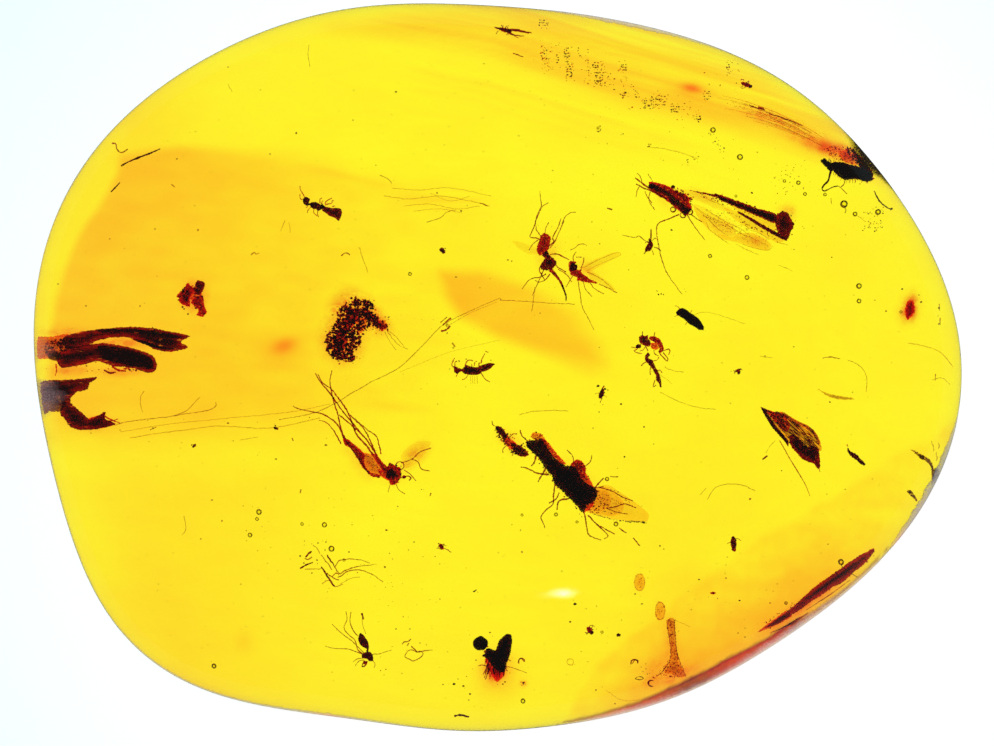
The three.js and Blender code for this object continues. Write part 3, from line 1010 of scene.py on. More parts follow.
def to_linear(v):
    v = np.clip(v / 255.0, 0, 1)
    return np.where(v <= 0.04045, v / 12.92, ((v + 0.055) / 1.055) ** 2.4)


veil_mat, nt, out = new_mat("flow layer")
L = nt.links.new
at = add(nt, "ShaderNodeAttribute", attribute_name="tint")
co = add(nt, "ShaderNodeTexCoord")
mp = add(nt, "ShaderNodeMapping", {"Rotation": (0, 0, -0.22), "Scale": (3.4, 1, 1)}, vector_type="TEXTURE")
L(co.outputs["Object"], mp.inputs[0])
nz = add(nt, "ShaderNodeTexNoise", {"Scale": 700.0, "Detail": 7.0, "Roughness": 0.62, "Distortion": 0.6})
L(mp.outputs[0], nz.inputs["Vector"])
mr = add(nt, "ShaderNodeMapRange", {"From Min": 0.3, "From Max": 0.7, "To Min": 0.975, "To Max": 1.02})
L(nz.outputs["Fac"], mr.inputs["Value"])
cb = add(nt, "ShaderNodeCombineColor", {0: 1.0, 2: 1.0})
L(mr.outputs[0], cb.inputs[1])
mu = add(nt, "ShaderNodeMixRGB", {0: 1.0}, blend_type="MULTIPLY")
L(at.outputs["Color"], mu.inputs[1])
L(cb.outputs[0], mu.inputs[2])
tr = add(nt, "ShaderNodeBsdfTransparent")
L(mu.outputs[0], tr.inputs[0])
L(tr.outputs[0], out.inputs[0])
veil_mat.surface_render_method = "BLENDED"

AROUND_V = 560
RINGS_V = np.concatenate([np.linspace(0, 0.93, 122)[1:], np.linspace(0.93, 0.9992, 26)[1:]])
va = np.arange(AROUND_V) * 2 * math.pi / AROUND_V
vx, vy = [], []
for q in RINGS_V:
    x, y = on_ray(va, q)
    vx.append(x)
    vy.append(y)
gmm = np.stack([np.concatenate(vx + [[0.0]]), np.concatenate(vy + [[0.0]])], 1)
gp = np.stack([gmm[:, 0] / PXMM + PX0, -gmm[:, 1] / PXMM + PY0], 1)
fade = fade_at(gp)
mult = to_linear(252 - fade) / to_linear(252.0) / (1 - 0.20 * tone_at(gp))
redder = np.clip((fade - 12) / 90, 0, 1)
tint = np.stack([1 - 0.035 * redder, np.clip(mult, 0.05, 1), np.clip(1 - 0.5 * redder, 0.3, 1), np.ones(len(mult))], 1)
# red and brown band along the lower right rim, darker along its inner edge, painted in to stand for light reddened on
# its long way sideways through the rim: how deep it runs in from the edge, and its colour
ang_v, reach_v = find_angle(gmm[:, 0], gmm[:, 1])
edge_px = (1 - reach_v) * np.hypot(gmm[:, 0], gmm[:, 1]) / PXMM
RX, RY = gp[:, 0], gp[:, 1]
low_side = smooth(430, 520, RY) * (RX > 500)
deep = np.interp(RX, [540, 600, 640, 665, 690, 720, 750, 790, 812, 840, 870, 905], [0, 3.0, 6, 8.5, 11, 11, 9.0, 7.0, 3.5, 2.0, 1.5, 0]) * low_side
deep = deep * (1 + 0.15 * noise_at(gp, 0.05, 31.0)) + 0.9 * noise_at(gp, 0.35, 32.0) * (deep > 0.5)
band_w = smooth(0.5, -1.5, edge_px - deep) * (deep > 0.5)
inner = np.exp(-((edge_px - deep) / 1.6) ** 2) * (deep > 1)
brown_w = np.exp(-((RX - 688) / 24) ** 2)
grn = np.interp(RX, [560, 600, 640, 665, 690, 720, 750, 780, 800, 815, 850, 905], [0.62, 0.46, 0.24, 0.20, 0.15, 0.11, 0.14, 0.15, 0.26, 0.50, 0.70, 0.8]) * (1 + 0.4 * noise_at(gp, 0.3, 33.0))
red = np.interp(RX, [600, 640, 665, 690, 712, 735, 790, 812, 850], [0.80, 0.66, 0.56, 0.36, 0.52, 0.62, 0.58, 0.74, 0.92]) * (1 + 0.2 * noise_at(gp, 0.3, 34.0))
tint[:, 0] *= 1 - band_w * (1 - np.clip(red, 0.2, 1)) - 0.45 * inner * low_side * (1 - band_w * 0.3)
tint[:, 1] *= 1 - band_w * (1 - np.clip(grn, 0.08, 1)) - 0.55 * inner * low_side * (1 - band_w * 0.5)
tint = np.clip(tint, 0.02, 1)
nzv = noise_at(gp, 0.006, 20.0) + 0.4 * noise_at(gp, 0.02, 21.0)
# the layer rises towards the rim, close under the top
_, vreach = find_angle(gmm[:, 0], gmm[:, 1])
rise = smooth(0.50, 0.97, vreach)
p3 = np.stack([gmm[:, 0], gmm[:, 1], (0.85 + 0.4 * nzv) * (1 - rise) + (top_z(gmm[:, 0], gmm[:, 1]) - 0.25) * rise], 1)
vert = keep_inside(warp(p3))
cells = [(r * AROUND_V + c, r * AROUND_V + (c + 1) % AROUND_V, (r + 1) * AROUND_V + (c + 1) % AROUND_V, (r + 1) * AROUND_V + c)
         for r in range(len(RINGS_V) - 1) for c in range(AROUND_V)]
cells += [(len(gp) - 1, c, (c + 1) % AROUND_V) for c in range(AROUND_V)]
used = np.arange(len(gp))
veil = mesh_object("flow_layer", vert, [q[::-1] for q in cells], [veil_mat])
ca = veil.data.color_attributes.new("tint", "FLOAT_COLOR", "POINT")
ca.data.foreach_set("color", tint[used].ravel().astype(np.float32))
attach(veil, "root")

# the same broad warmth on the skin of the piece
bp_ = np.array([v.co[:2] for v in amber.data.vertices]) / MM
tv = tone_at(np.stack([bp_[:, 0] / PXMM + PX0, -bp_[:, 1] / PXMM + PY0], 1))
ta = amber.data.attributes.new("tone", "FLOAT", "POINT")
ta.data.foreach_set("value", tv.astype(np.float32))

# ---------------------------------------------------------------------------
# Ant
# ---------------------------------------------------------------------------
p = Pile("ant")
Z = 4.6
pillow(p, [(305, 197), (307, 197), (310, 199), (309, 202), (309, 205), (307, 206), (304, 204), (303, 202), (303, 199)], Z, chitin, step=0.6, seed=1, thick=0.9)
pillow(p, [(310, 203), (312.5, 202), (316, 202), (320, 204), (321, 205), (322, 203), (323, 205), (322, 209), (320, 210), (318, 211), (316, 209), (313, 209), (310, 206)], Z, chitin, step=0.6, seed=2, thick=0.9)
ball(p, (322.5, 207), 2.3, Z, chitin, thick=0.9)
pillow(p, [(323, 206), (327, 207), (332, 208), (337, 208), (341, 209), (342, 213), (341, 217), (340, 219), (339, 221), (337, 220), (335, 218), (332.5, 217), (329, 216), (327, 214), (324, 212), (322, 210)], Z, chitin, step=0.7, seed=3, ridges=((0.9, 0.4), 4.2, 0.14), floor=0.5)
tube(p, [(309, 204), (312, 205)], 1.1, Z, chitin, 0.9)
for q, r in [([(325, 204), (326, 201.5), (329, 199.5), (332, 198)], (0.7, 0.4)), ([(325, 205), (328, 204), (332, 203), (332, 200), (334, 201)], (0.6, 0.4)), ([(332, 206.5), (335, 206)], 0.6), ([(320, 203), (320, 199), (322, 198)], 0.5)]:
    tube(p, q, r, Z + 0.1, leg_red)
for q, r in [([(305, 198), (303, 194), (301, 191), (300, 188), (300, 186)], (0.6, 0.5)), ([(304, 199), (301, 199.5), (300, 197), (300, 194)], 0.45), ([(314, 209), (313.5, 212.5), (315, 214), (317, 216)], 0.45), ([(318, 210), (317.5, 214), (318.5, 217)], 0.45), ([(311, 207), (308, 210), (307.5, 213)], 0.45), ([(308, 206), (306, 208)], 0.4), ([(321, 204), (323, 200.5)], 0.4)]:
    tube(p, q, r, Z - 0.05, legs)
p.make()

# ---------------------------------------------------------------------------
# Three-lobed reddish cluster
# ---------------------------------------------------------------------------
p = Pile("lobed_cluster")
Z = 3.2
pillow(p, [(198, 280), (204, 282), (205, 285), (203, 291), (201.5, 293), (199, 295), (196, 294), (193.5, 290), (193, 287.5), (195, 286), (195.5, 283)], Z, chitin, step=0.7, rough=0.5, seed=4, lump=0.3)
pillow(p, [(187, 283), (189, 283), (190, 285), (193, 287.5), (194, 292), (191, 296), (190, 301), (190, 306.5), (186, 306), (181, 304), (179, 301), (179, 298), (177, 297), (177, 295), (180, 292), (184, 291), (185, 287.5)], Z, maroon, step=0.7, rough=0.5, seed=5, lump=0.35)
pillow(p, [(193, 290), (200, 291), (202, 294), (201, 298), (198, 301), (193, 301), (190, 297)], Z - 0.1, orange, step=0.7, rough=0.4, seed=6)
pillow(p, [(198, 296), (203, 296), (204, 302), (205, 307), (207, 312), (205, 314.5), (203, 317), (199, 316), (196, 315), (198, 312), (198, 309), (195, 306.5), (191, 303), (193, 299)], Z, maroon, step=0.7, rough=0.5, seed=7, lump=0.35)
for c in [(182.5, 306.8), (188, 314), (178.5, 300), (184, 309)]:
    grain(p, c[0], c[1], 1.0, Z, chitin)
for _ in range(46):
    t = RNG.uniform(0, 1, 2)
    x, y = 179 + 27 * t[0], 283 + 32 * t[1]
    if inside(np.array([[x, y]]), [(198, 280), (205, 285), (201.5, 293), (204, 302), (207, 312), (203, 317), (196, 315), (195, 306.5), (186, 306), (179, 301), (177, 295), (185, 287.5), (187, 283), (193, 287.5)])[0]:
        grain(p, x, y, RNG.uniform(0.6, 1.3), Z + RNG.uniform(-0.06, 0.12), [chitin, maroon, ruddy][RNG.randint(3)]) if not 187 < x < 201 or not 288 < y < 303 else None
scatter(p, [(183, 288), (190, 284), (197, 288), (201, 296), (203, 304), (197, 306), (192, 300), (185, 298)], 44, (0.7, 1.3), Z, [maroon, ruddy, orange])
scatter(p, [(181, 290), (187, 289), (190, 294), (187, 301), (181, 298)], 26, (0.8, 1.3), Z, [maroon, chitin])
halo(p, (194, 297), (11, 13), Z - 0.3, stain_red, power=0.8, soft=1.6)
p.make()

# ---------------------------------------------------------------------------
# C-shaped cluster of grains
# ---------------------------------------------------------------------------
p = Pile("grain_cluster")
Z = 4.2
C = np.array([(352, 297), (361, 299), (368, 301), (373, 304), (373.5, 308), (372, 311), (375, 314), (380, 318), (385.5, 322), (388, 326), (385.5, 330), (382, 331), (378, 328), (373.5, 326), (369, 326), (366.5, 329), (363, 333), (361, 336.5), (360.5, 341), (359.5, 345), (357, 349.5), (354, 352), (356, 358), (352, 361), (346, 362), (339, 361), (333, 358), (327, 351), (325, 342), (326, 335), (331, 331), (333, 327), (337, 320), (337, 312), (341, 308), (345, 304)])
pillow(p, [(349, 309), (356, 309), (359, 315), (356, 323), (351, 328), (346, 334), (348, 341), (346, 347), (340, 349), (334, 346), (332, 339), (337, 334), (343, 327), (345, 318)], Z - 0.15, maroon, step=1.0, rough=1.0, seed=8, lump=0.5, fat=0.5)
pillow(p, [(362, 309), (368, 309), (374, 316), (380, 321), (384, 325), (381, 328), (374, 323), (366, 319), (362, 315)], Z - 0.1, maroon, step=0.9, rough=0.8, seed=9, lump=0.5, fat=0.5)
pillow(p, [(355, 318), (361, 317), (367, 321), (366, 327), (361, 333), (357, 331)], Z - 0.2, orange, step=0.9, rough=0.8, seed=10)
pillow(p, [(380, 320), (386, 322.5), (388, 326), (385.5, 330), (381, 329)], Z, orange, step=0.8, rough=0.5, seed=12)
halo(p, (350, 312), (19, 19), Z - 0.4, stain_red, power=0.9, soft=1.6)
halo(p, (343, 340), (19, 21), Z - 0.4, stain_red, power=0.9, soft=1.6)
halo(p, (372, 318), (19, 11), Z - 0.4, stain_red, turn=0.75, power=0.95, soft=1.5)
n = 0
light_gap = [(345, 333), (348.5, 338), (350, 345), (348.5, 348), (345.5, 345), (344, 338)]
while n < 900:
    x, y = RNG.uniform(324, 390), RNG.uniform(296, 363)
    if not inside(np.array([[x, y]]), C)[0]:
        continue
    if inside(np.array([[x, y]]), light_gap)[0] and RNG.rand() < 0.8:
        continue
    edge = seg_dist(np.array([[x, y]]), C)[0]
    core = math.exp(-((x - 353) ** 2 / 40 + (y - 318) ** 2 / 90)) + math.exp(-((x - 341) ** 2 + (y - 343) ** 2) / 60) + math.exp(-((x - 368) ** 2 + (y - 316) ** 2) / 50)
    mat = black if RNG.rand() < 0.4 * core else (chitin if RNG.rand() < 0.20 + 0.3 * core else maroon)
    if x > 378:
        mat = [ruddy, orange, maroon][RNG.randint(3)]
    grain(p, x, y, RNG.uniform(0.85, 1.5) + (0.15 if edge > 5 else 0), Z + RNG.uniform(-0.25, 0.3), mat, RNG.uniform(0.55, 1.0))
    n += 1
for _ in range(90):
    i = RNG.randint(len(C))
    q = C[i] + RNG.normal(0, 1.9, 2)
    grain(p, q[0], q[1], RNG.uniform(0.45, 0.95), Z + RNG.uniform(-0.2, 0.2), [chitin, maroon, ruddy][RNG.randint(3)])
for c, r in [((353, 358), 2.4), ((350, 352), 2.8), ((345, 357), 2.6), ((337, 354), 2.5), ((331, 346), 2.3), ((366, 304), 2.2), ((357, 303), 2.2), ((347, 309), 2.2)]:
    ball(p, c, r, Z + 0.1, maroon, lump=0.3, seed=c[0])
p.make()

# ---------------------------------------------------------------------------
# Booklouse
# ---------------------------------------------------------------------------
p = Pile("booklouse")
Z = 5.0
pillow(p, [(454, 366), (453, 367), (454, 369.5), (454, 372), (457, 374), (460, 372), (461.6, 371.5), (464.5, 374), (470, 375), (476.5, 375), (480, 374), (482, 372), (486, 371), (490, 369), (493, 366), (495, 364), (491, 363), (488, 363), (485, 364), (481.5, 365), (477, 367), (473, 367), (469, 366), (466, 365), (464, 367), (462, 369), (459, 368), (457, 367)], Z, chitin, step=0.65, rough=0.3, seed=13, floor=0.55)
pillow(p, [(463, 368), (470, 367.5), (480, 369), (486, 367), (490, 366), (484, 370), (476, 373), (467, 373)], Z + 0.12, maroon, step=0.7, seed=14, fat=0.5)
for q, r in [([(453, 367), (451.6, 365), (453, 361), (454.5, 358)], 0.55), ([(455, 366), (455, 362), (457, 361)], 0.5), ([(465, 366), (467, 361), (470, 360), (473, 361)], (0.8, 0.5)), ([(472, 367), (471.5, 364)], 0.5), ([(474, 366), (475, 362), (477, 361)], 0.5), ([(479, 366), (479, 363), (481.5, 363), (481.5, 360), (485, 353)], (0.7, 0.4)), ([(485, 351), (488.5, 352.5)], 0.5), ([(481, 373), (485, 379), (490, 382)], (0.6, 0.4)), ([(458, 373), (456, 377)], 0.45), ([(468, 374), (466, 378), (462, 380)], 0.4)]:
    tube(p, q, r, Z, legs)
for x in (470.5, 472.5, 474.5, 477):
    tube(p, [(x, 376), (x + 0.4, 384)], 0.3, Z, hair)
for c in [(449.5, 369), (459, 361), (453, 348), (466, 359)]:
    grain(p, c[0], c[1], 0.8, Z, chitin)
p.make()

# ---------------------------------------------------------------------------
# Humpbacked gnat, and the slender dark insect below it
# ---------------------------------------------------------------------------
p = Pile("gnat")
Z = 5.4
pillow(p, [(642, 335), (645, 336), (648, 335), (648, 338), (650, 341), (651, 344), (649, 347), (646, 346), (643, 345), (640, 343), (639, 340), (639, 337)], Z, chitin, step=0.65, rough=0.3, seed=15, floor=0.3)
ball(p, (638.4, 346.3), (2.6, 2.2), Z, chitin, thick=0.9)
pillow(p, [(649, 339), (650, 336.5), (655, 336.5), (659.5, 339), (662.5, 344), (664, 349), (661, 353), (658.5, 352), (659.5, 348.5), (657, 344), (653, 341.5)], Z, maroon, step=0.65, rough=0.4, seed=16, floor=0.25, ridges=((0.7, 0.7), 3.2, 0.15))
pillow(p, [(651, 343), (656, 343), (659, 348), (656, 350), (651, 348)], Z - 0.05, ruddy, step=0.8, seed=17)
for q, r in [([(658.5, 351), (661, 355), (664, 358), (666.5, 361)], 0.6), ([(663, 352.5), (666, 356), (668, 359), (667, 361.5)], 0.6), ([(659, 352), (664, 350.5), (669, 349), (670, 351), (668.5, 355)], 0.55), ([(654, 338), (654.5, 334), (655, 332)], 0.5), ([(642.5, 336), (642.5, 331.5)], 0.5), ([(645.6, 346), (648, 351)], 0.5), ([(637, 348), (634, 347.5), (631, 347)], 0.45), ([(641, 344), (637, 349), (634, 351), (638, 353), (642, 353.5)], 0.5), ([(654, 350), (654.5, 353.5), (658.5, 356)], 0.5), ([(646, 346), (643, 350), (640, 351)], 0.4)]:
    tube(p, q, r, Z, leg_red, 0.8)
p.make()
p = Pile("slender_insect")
Z = 4.7
pillow(p, [(648, 352.5), (650, 355), (648, 358), (652, 360), (654, 363), (656, 368), (659, 373), (661, 380), (661.6, 387), (660, 387), (658.5, 383), (656, 380), (656, 375.5), (653, 370), (650, 366), (646.5, 362), (645, 360), (645, 356)], Z, chitin, step=0.6, rough=0.35, seed=18, floor=0.5)
for q, r in [([(648, 361), (652, 364)], 0.4), ([(646.5, 362), (644, 363), (641, 366)], 0.55), ([(651, 366), (650, 371), (650.5, 375)], 0.5), ([(657, 371), (660, 370), (662, 373)], 0.5), ([(655, 380), (653, 387), (656, 385)], 0.5), ([(653, 361), (657, 360), (659, 357)], 0.45)]:
    tube(p, q, r, Z, legs, 0.8)
p.make()

# ---------------------------------------------------------------------------
# Leaf or seed fragment
# ---------------------------------------------------------------------------
p = Pile("leaf_fragment")
Z = 4.4
leaf = [(760.7, 407), (766, 409), (775, 412), (783, 412), (789.5, 416), (798, 421), (807, 425), (814, 430.5), (818, 436.5), (820.6, 443), (821.7, 450), (819, 452), (820, 459), (820, 467), (818, 469), (814, 464), (809, 462), (802, 459), (797, 453), (791.5, 447), (789.5, 442), (788, 446.6), (785, 442), (779, 435), (773, 428.5), (768, 421), (764, 414)]
streaky = remains("leaf tissue", (0.40, 0.12, 0.03), (0.20, 0.03, 0.01), (0.99, 0.76, 0.40), (0.93, 0.56, 0.22), 0.04, 0.60, 0.62, scale=9000, vary=1.5, grain_dir=math.radians(-42), grain_len=4.0, glint=0.7, glint_at=0.56, glint_scale=11000, glint_tint=(1.0, 0.66, 0.3))
streaky_dark = remains("leaf tissue dark", (0.14, 0.008, 0.010), (0.30, 0.02, 0.016), (0.86, 0.28, 0.10), (0.62, 0.12, 0.06), 0.20, 1.0, 0.34, scale=8000, vary=1.2, grain_dir=math.radians(-42), grain_len=3.5, glint=0.6, glint_at=0.60, glint_scale=13000)
pillow(p, leaf, Z, streaky, step=0.9, rough=0.25, seed=19, fat=0.22, lump=0.2)
pillow(p, [(789.5, 436), (793, 434), (797, 436.5), (801, 442), (806, 447), (814, 446), (819, 449), (819, 452), (820, 459), (820, 467), (818, 469), (814, 464), (809, 462), (802, 459), (797, 453), (791.5, 447), (789.5, 442)], Z + 0.12, chitin, step=0.8, rough=0.6, seed=20, fat=0.5, lump=0.5, floor=0.3)
pillow(p, [(760.7, 407), (765, 409), (767.5, 414), (772, 420), (777, 427), (783, 434), (788.5, 441), (788, 446.6), (785, 442), (779, 435), (773, 428.5), (768, 421), (764, 414)], Z + 0.1, streaky_dark, step=0.7, rough=0.5, seed=21, fat=0.5, floor=0.6)
pillow(p, [(775, 412), (783, 412), (789.5, 416), (798, 421), (807, 425), (814, 430.5), (818, 436.5), (820.6, 443), (818.5, 444), (815, 437.5), (811, 432), (803, 427), (794, 423), (786, 418), (780, 415)], Z + 0.1, streaky, step=0.8, rough=0.5, seed=22, fat=0.4, floor=0.3)
pillow(p, [(760.7, 407), (766, 409), (775, 412), (782, 413), (787, 419), (790, 427), (786, 432), (779, 427), (771, 417), (765, 411)], Z + 0.07, ruddy, step=0.8, rough=0.6, seed=222, fat=0.4, lump=0.5)
scatter(p, [(764, 409), (775, 413), (783, 416), (788, 425), (785, 431), (776, 423), (768, 414)], 120, (0.4, 1.0), Z + 0.3, [maroon, chitin, leg_red, maroon])
for q, r in [([(766, 410), (769, 414)], 0.5), ([(776, 412), (779.5, 417), (784, 422), (789, 428)], (0.7, 0.5)), ([(772, 418), (777, 422.5), (783, 426), (789, 431)], (0.7, 0.5)), ([(783, 414), (789, 420), (797, 427), (805, 436)], (0.6, 0.4)), ([(779.5, 426), (786, 431), (792, 434)], 0.6), ([(792, 421), (800, 428), (807, 436), (811, 443)], 0.5)]:
    tube(p, q, r, Z + 0.2, wing_pale if q[0][0] < 777 else maroon, 0.6)
# pale streaks painted on the leaf as highlights
for q, r in [([(764, 408.5), (766.5, 410), (769, 413)], (0.4, 0.7, 0.3)), ([(775.5, 411.5), (779, 413.5), (782, 418), (785, 423)], (0.3, 0.7, 0.6, 0.25)), ([(770, 417), (773, 421), (777, 423.5), (781, 425)], (0.3, 0.6, 0.5, 0.25)), ([(780, 428), (784, 432), (787, 436)], (0.2, 0.5, 0.2)), ([(794, 423), (800, 427)], (0.25, 0.45))]:
    tube(p, q, r, Z + 0.75, pale_film_and_glints, 0.9, kink=0.5)
# pale specks painted on the leaf as highlights
for x, y, r in [(798, 447, 0.8), (808, 451, 0.9), (803, 444, 0.5), (791, 430, 0.5), (812, 456, 0.5), (786, 426, 0.5)]:
    ball(p, (x, y), r, Z + 0.8, pale_film_and_glints, lump=0.4)
scatter(p, [(790, 437), (797, 436.5), (806, 445), (816, 446), (816, 456), (808, 457), (798, 450)], 90, (0.5, 1.2), Z + 0.35, [maroon, ruddy, chitin, leg_red])
for i in range(70):
    t, s = RNG.rand(), RNG.normal(0, 0.35)
    x0, y0 = 782 + 32 * t - 10 * s, 416 + 26 * t + 12 * s + 4
    if inside(np.array([[x0, y0], [x0 + 5, y0 + 4]]), leaf).all():
        tube(p, [(x0, y0), (x0 + 2.5, y0 + 2), (x0 + 5, y0 + 4.2)], (0.25, 0.42, 0.2), Z + 0.2, [maroon, leg_red, legs][RNG.randint(3)], 0.75)
for i in range(60):
    t = RNG.rand()
    grain(p, 790 + 28 * t + RNG.normal(0, 2), 437 + 16 * t + RNG.normal(0, 2.2), RNG.uniform(0.5, 1.1), Z + 0.15, [black, maroon][RNG.randint(2)])
tube(p, [(779.5, 440.5), (785, 450), (790, 459), (798, 472), (805, 484), (810, 496)], (0.45, 0.6, 0.35), Z, legs, 0.6)
tube(p, [(819, 468), (820, 472)], 0.4, Z, legs)
tube(p, [(762.5, 459.5), (765, 457.5), (767.5, 455.8)], (0.6, 1.0, 0.6), Z, maroon, 0.9)
top_edge = np.array([(762, 408.5), (772, 411.5), (783, 413.5), (790, 417.5), (798, 422), (807, 426), (813.5, 431.5), (817.5, 437.5), (820, 445)])
for _ in range(110):
    t = RNG.uniform(0, 8)
    grain(p, np.interp(t, range(9), top_edge[:, 0]) - abs(RNG.normal(0, 0.8)), np.interp(t, range(9), top_edge[:, 1]) + abs(RNG.normal(0, 0.9)), RNG.uniform(0.35, 0.7), Z + 0.3, [olive, leg_red, olive, maroon][RNG.randint(4)])
p.make()

# ---------------------------------------------------------------------------
# Rod-shaped beetle
# ---------------------------------------------------------------------------
p = Pile("rod_beetle")
Z = 5.2
rod = [(676, 312.5), (678, 310), (680, 308.4), (683, 308), (685, 309), (687, 310), (690, 312.5), (694, 315), (698, 318), (701, 321.5), (703, 325), (704, 327), (703.4, 330.4), (702, 330), (699, 330), (697, 328.5), (693, 326), (689, 324), (687, 322), (685, 320), (683.5, 318.6), (682, 318), (679, 316), (677, 315)]
pillow(p, rod, Z, black, step=0.65, rough=0.2, seed=23, floor=0.75, ridges=((0.8, 0.6), 4.0, 0.06))
pillow(p, [(676, 312.5), (678, 310), (680, 308.4), (683, 308), (684, 311), (682, 316), (679, 316), (677, 315)], Z + 0.05, maroon, step=0.6, seed=24, fat=1.1, floor=0.4)
for q in [[(680, 309), (677, 306), (675, 306)], [(678, 315), (675, 316.5)], [(690, 313), (692, 310.5)], [(687, 322), (685.5, 325)]]:
    tube(p, q, 0.4, Z, legs)
p.make()

# ---------------------------------------------------------------------------
# Midge near the bottom, with the irregular bubble beside it
# ---------------------------------------------------------------------------
p = Pile("bottom_midge")
Z = 4.8
pillow(p, [(360, 633), (363, 634.5), (365, 637), (368, 641.5), (369, 647), (368, 651), (366, 648.5), (363, 647), (360, 644.5), (358, 639)], Z, chitin, step=0.6, rough=0.2, seed=25, floor=0.8)
pillow(p, [(362, 654), (366, 652), (370.5, 652), (373, 655.5), (373, 661), (369, 661), (367, 659), (362, 658)], Z, chitin, step=0.6, rough=0.3, seed=26, floor=0.8)
tube(p, [(367, 650), (368, 653)], 0.9, Z, chitin, 0.9)
tube(p, [(367, 661), (366, 664), (364, 666.5), (362, 666.5), (363, 663)], (0.9, 0.5), Z, maroon, 0.8)
ball(p, (364.5, 662.5), (1.6, 2.0), Z, maroon)
for q, r in [([(351, 612), (350, 621), (352, 628), (355, 633), (358, 636)], (0.35, 0.6)), ([(346, 611.5), (347, 619.5), (344, 628), (349, 635), (354, 639), (356, 643), (358, 650), (363, 654)], (0.35, 0.6)), ([(332, 624), (338, 630), (345, 636), (352, 641), (358, 647), (364, 653)], (0.3, 0.55)), ([(325, 646), (332, 648), (340, 648.7), (348, 649), (354, 651), (362, 654)], (0.3, 0.55)), ([(363, 658), (357, 659), (353, 662)], (0.5, 0.3)), ([(364, 660), (359, 661), (355, 666)], (0.5, 0.3)), ([(371, 655), (374, 654), (379, 654), (385, 652), (392, 650)], (0.5, 0.25)), ([(362, 613), (363, 616), (364, 619)], 0.5), ([(372, 659), (375, 664), (374, 668)], 0.35), ([(366, 634), (363, 626), (362, 620)], 0.25)]:
    tube(p, q, r, Z, legs, 0.8)
for c in [(410, 629), (420, 643), (396, 629)]:
    grain(p, c[0], c[1], 0.8, Z, chitin)
p.make()

# ---------------------------------------------------------------------------
# Insect at the bottom middle
# ---------------------------------------------------------------------------
p = Pile("fringed_insect")
Z = 4.4
ball(p, (480.4, 643.4), 7.3, Z, black, lump=0.06, thick=0.95, n=22)
body = [(486, 649), (489, 648), (493, 650), (496, 650), (497, 646), (499, 641), (502.5, 637), (506, 634), (510.5, 634), (512, 638), (512, 643), (511, 649), (510, 655), (508, 660), (506, 665.5), (505, 672), (500, 672), (496, 670), (493, 667), (490, 663), (487, 659), (485, 657.5), (482, 655.5), (485, 653)]
pillow(p, body, Z, black, step=0.85, rough=0.6, seed=27, floor=0.45, lump=0.3)
pillow(p, [(489, 655), (496, 656), (505, 660), (505, 672), (502, 678), (497, 682), (492, 676), (488, 668), (485, 660)], Z - 0.1, ruddy, step=0.8, rough=1.0, seed=28, lump=0.4)
pillow(p, [(493, 670), (498, 670), (500, 676), (497, 681), (494, 677)], Z - 0.05, orange, step=0.8, rough=0.6, seed=29)
halo(p, (496, 668), (17, 18), Z - 0.3, stain_orange, power=0.9)
halo(p, (495, 672), (9, 10), Z - 0.35, stain_red, power=0.8)
for i in range(60):
    x0, y0 = RNG.uniform(485, 506), RNG.uniform(656, 670)
    dx, dy = RNG.uniform(-3.5, 1.5), RNG.uniform(5, 12)
    tube(p, [(x0, y0), (x0 + dx * 0.4, y0 + dy * 0.5), (x0 + dx, y0 + dy)], (0.7, 0.3), Z + RNG.uniform(-0.2, 0.1), [leg_red, ruddy, maroon][RNG.randint(3)], 0.8)
for q, r in [([(489, 665), (487, 666), (482, 665), (478, 666)], (0.7, 0.4)), ([(508, 659), (509, 660), (511, 661)], 0.6), ([(506, 667), (510, 667), (519, 670), (527, 673)], (0.4, 0.25)), ([(519, 663), (519, 660), (521, 658), (523.5, 661)], 0.5), ([(484, 651), (486, 652)], 1.4), ([(488, 647), (486, 645)], 1.0)]:
    tube(p, q, r, Z, legs, 0.8)
for c, r in [((503, 684), 0.8), ((505, 682), 0.8), ((490, 632.5), 0.9), ((523.5, 683), 1.2), ((476, 660), 0.7)]:
    grain(p, c[0], c[1], r, Z, chitin)
p.make()

# ---------------------------------------------------------------------------
# Two midges beside each other
# ---------------------------------------------------------------------------
p = Pile("midge_a")
Z = 5.0
halo(p, (547, 252), (13, 20), Z - 0.4, stain_orange, power=0.5)
pillow(p, [(541, 235), (545, 233), (551, 237), (550, 243.5), (549, 249), (546, 252), (543, 254), (540, 256), (537, 252), (537, 246.5), (539, 241)], Z, maroon, step=0.7, rough=0.7, seed=31, floor=0.45)
pillow(p, [(543, 253), (547, 251), (550, 256), (555.5, 260), (556.5, 264), (553.5, 268), (549, 270), (542, 270), (540, 266), (543, 261), (545, 258), (542, 256)], Z, chitin, step=0.7, rough=0.8, seed=32, floor=0.5)
tube(p, [(546, 251), (547, 254), (549, 257)], 1.6, Z, maroon, 0.8)
tube(p, [(550, 269), (555.5, 275), (560, 281), (562, 285)], (2.0, 1.7, 1.4, 1.1), Z, maroon, 0.75)
tube(p, [(562, 285), (564, 290), (566, 296), (566, 301)], (1.2, 0.9, 0.5), Z, chitin, 0.8)
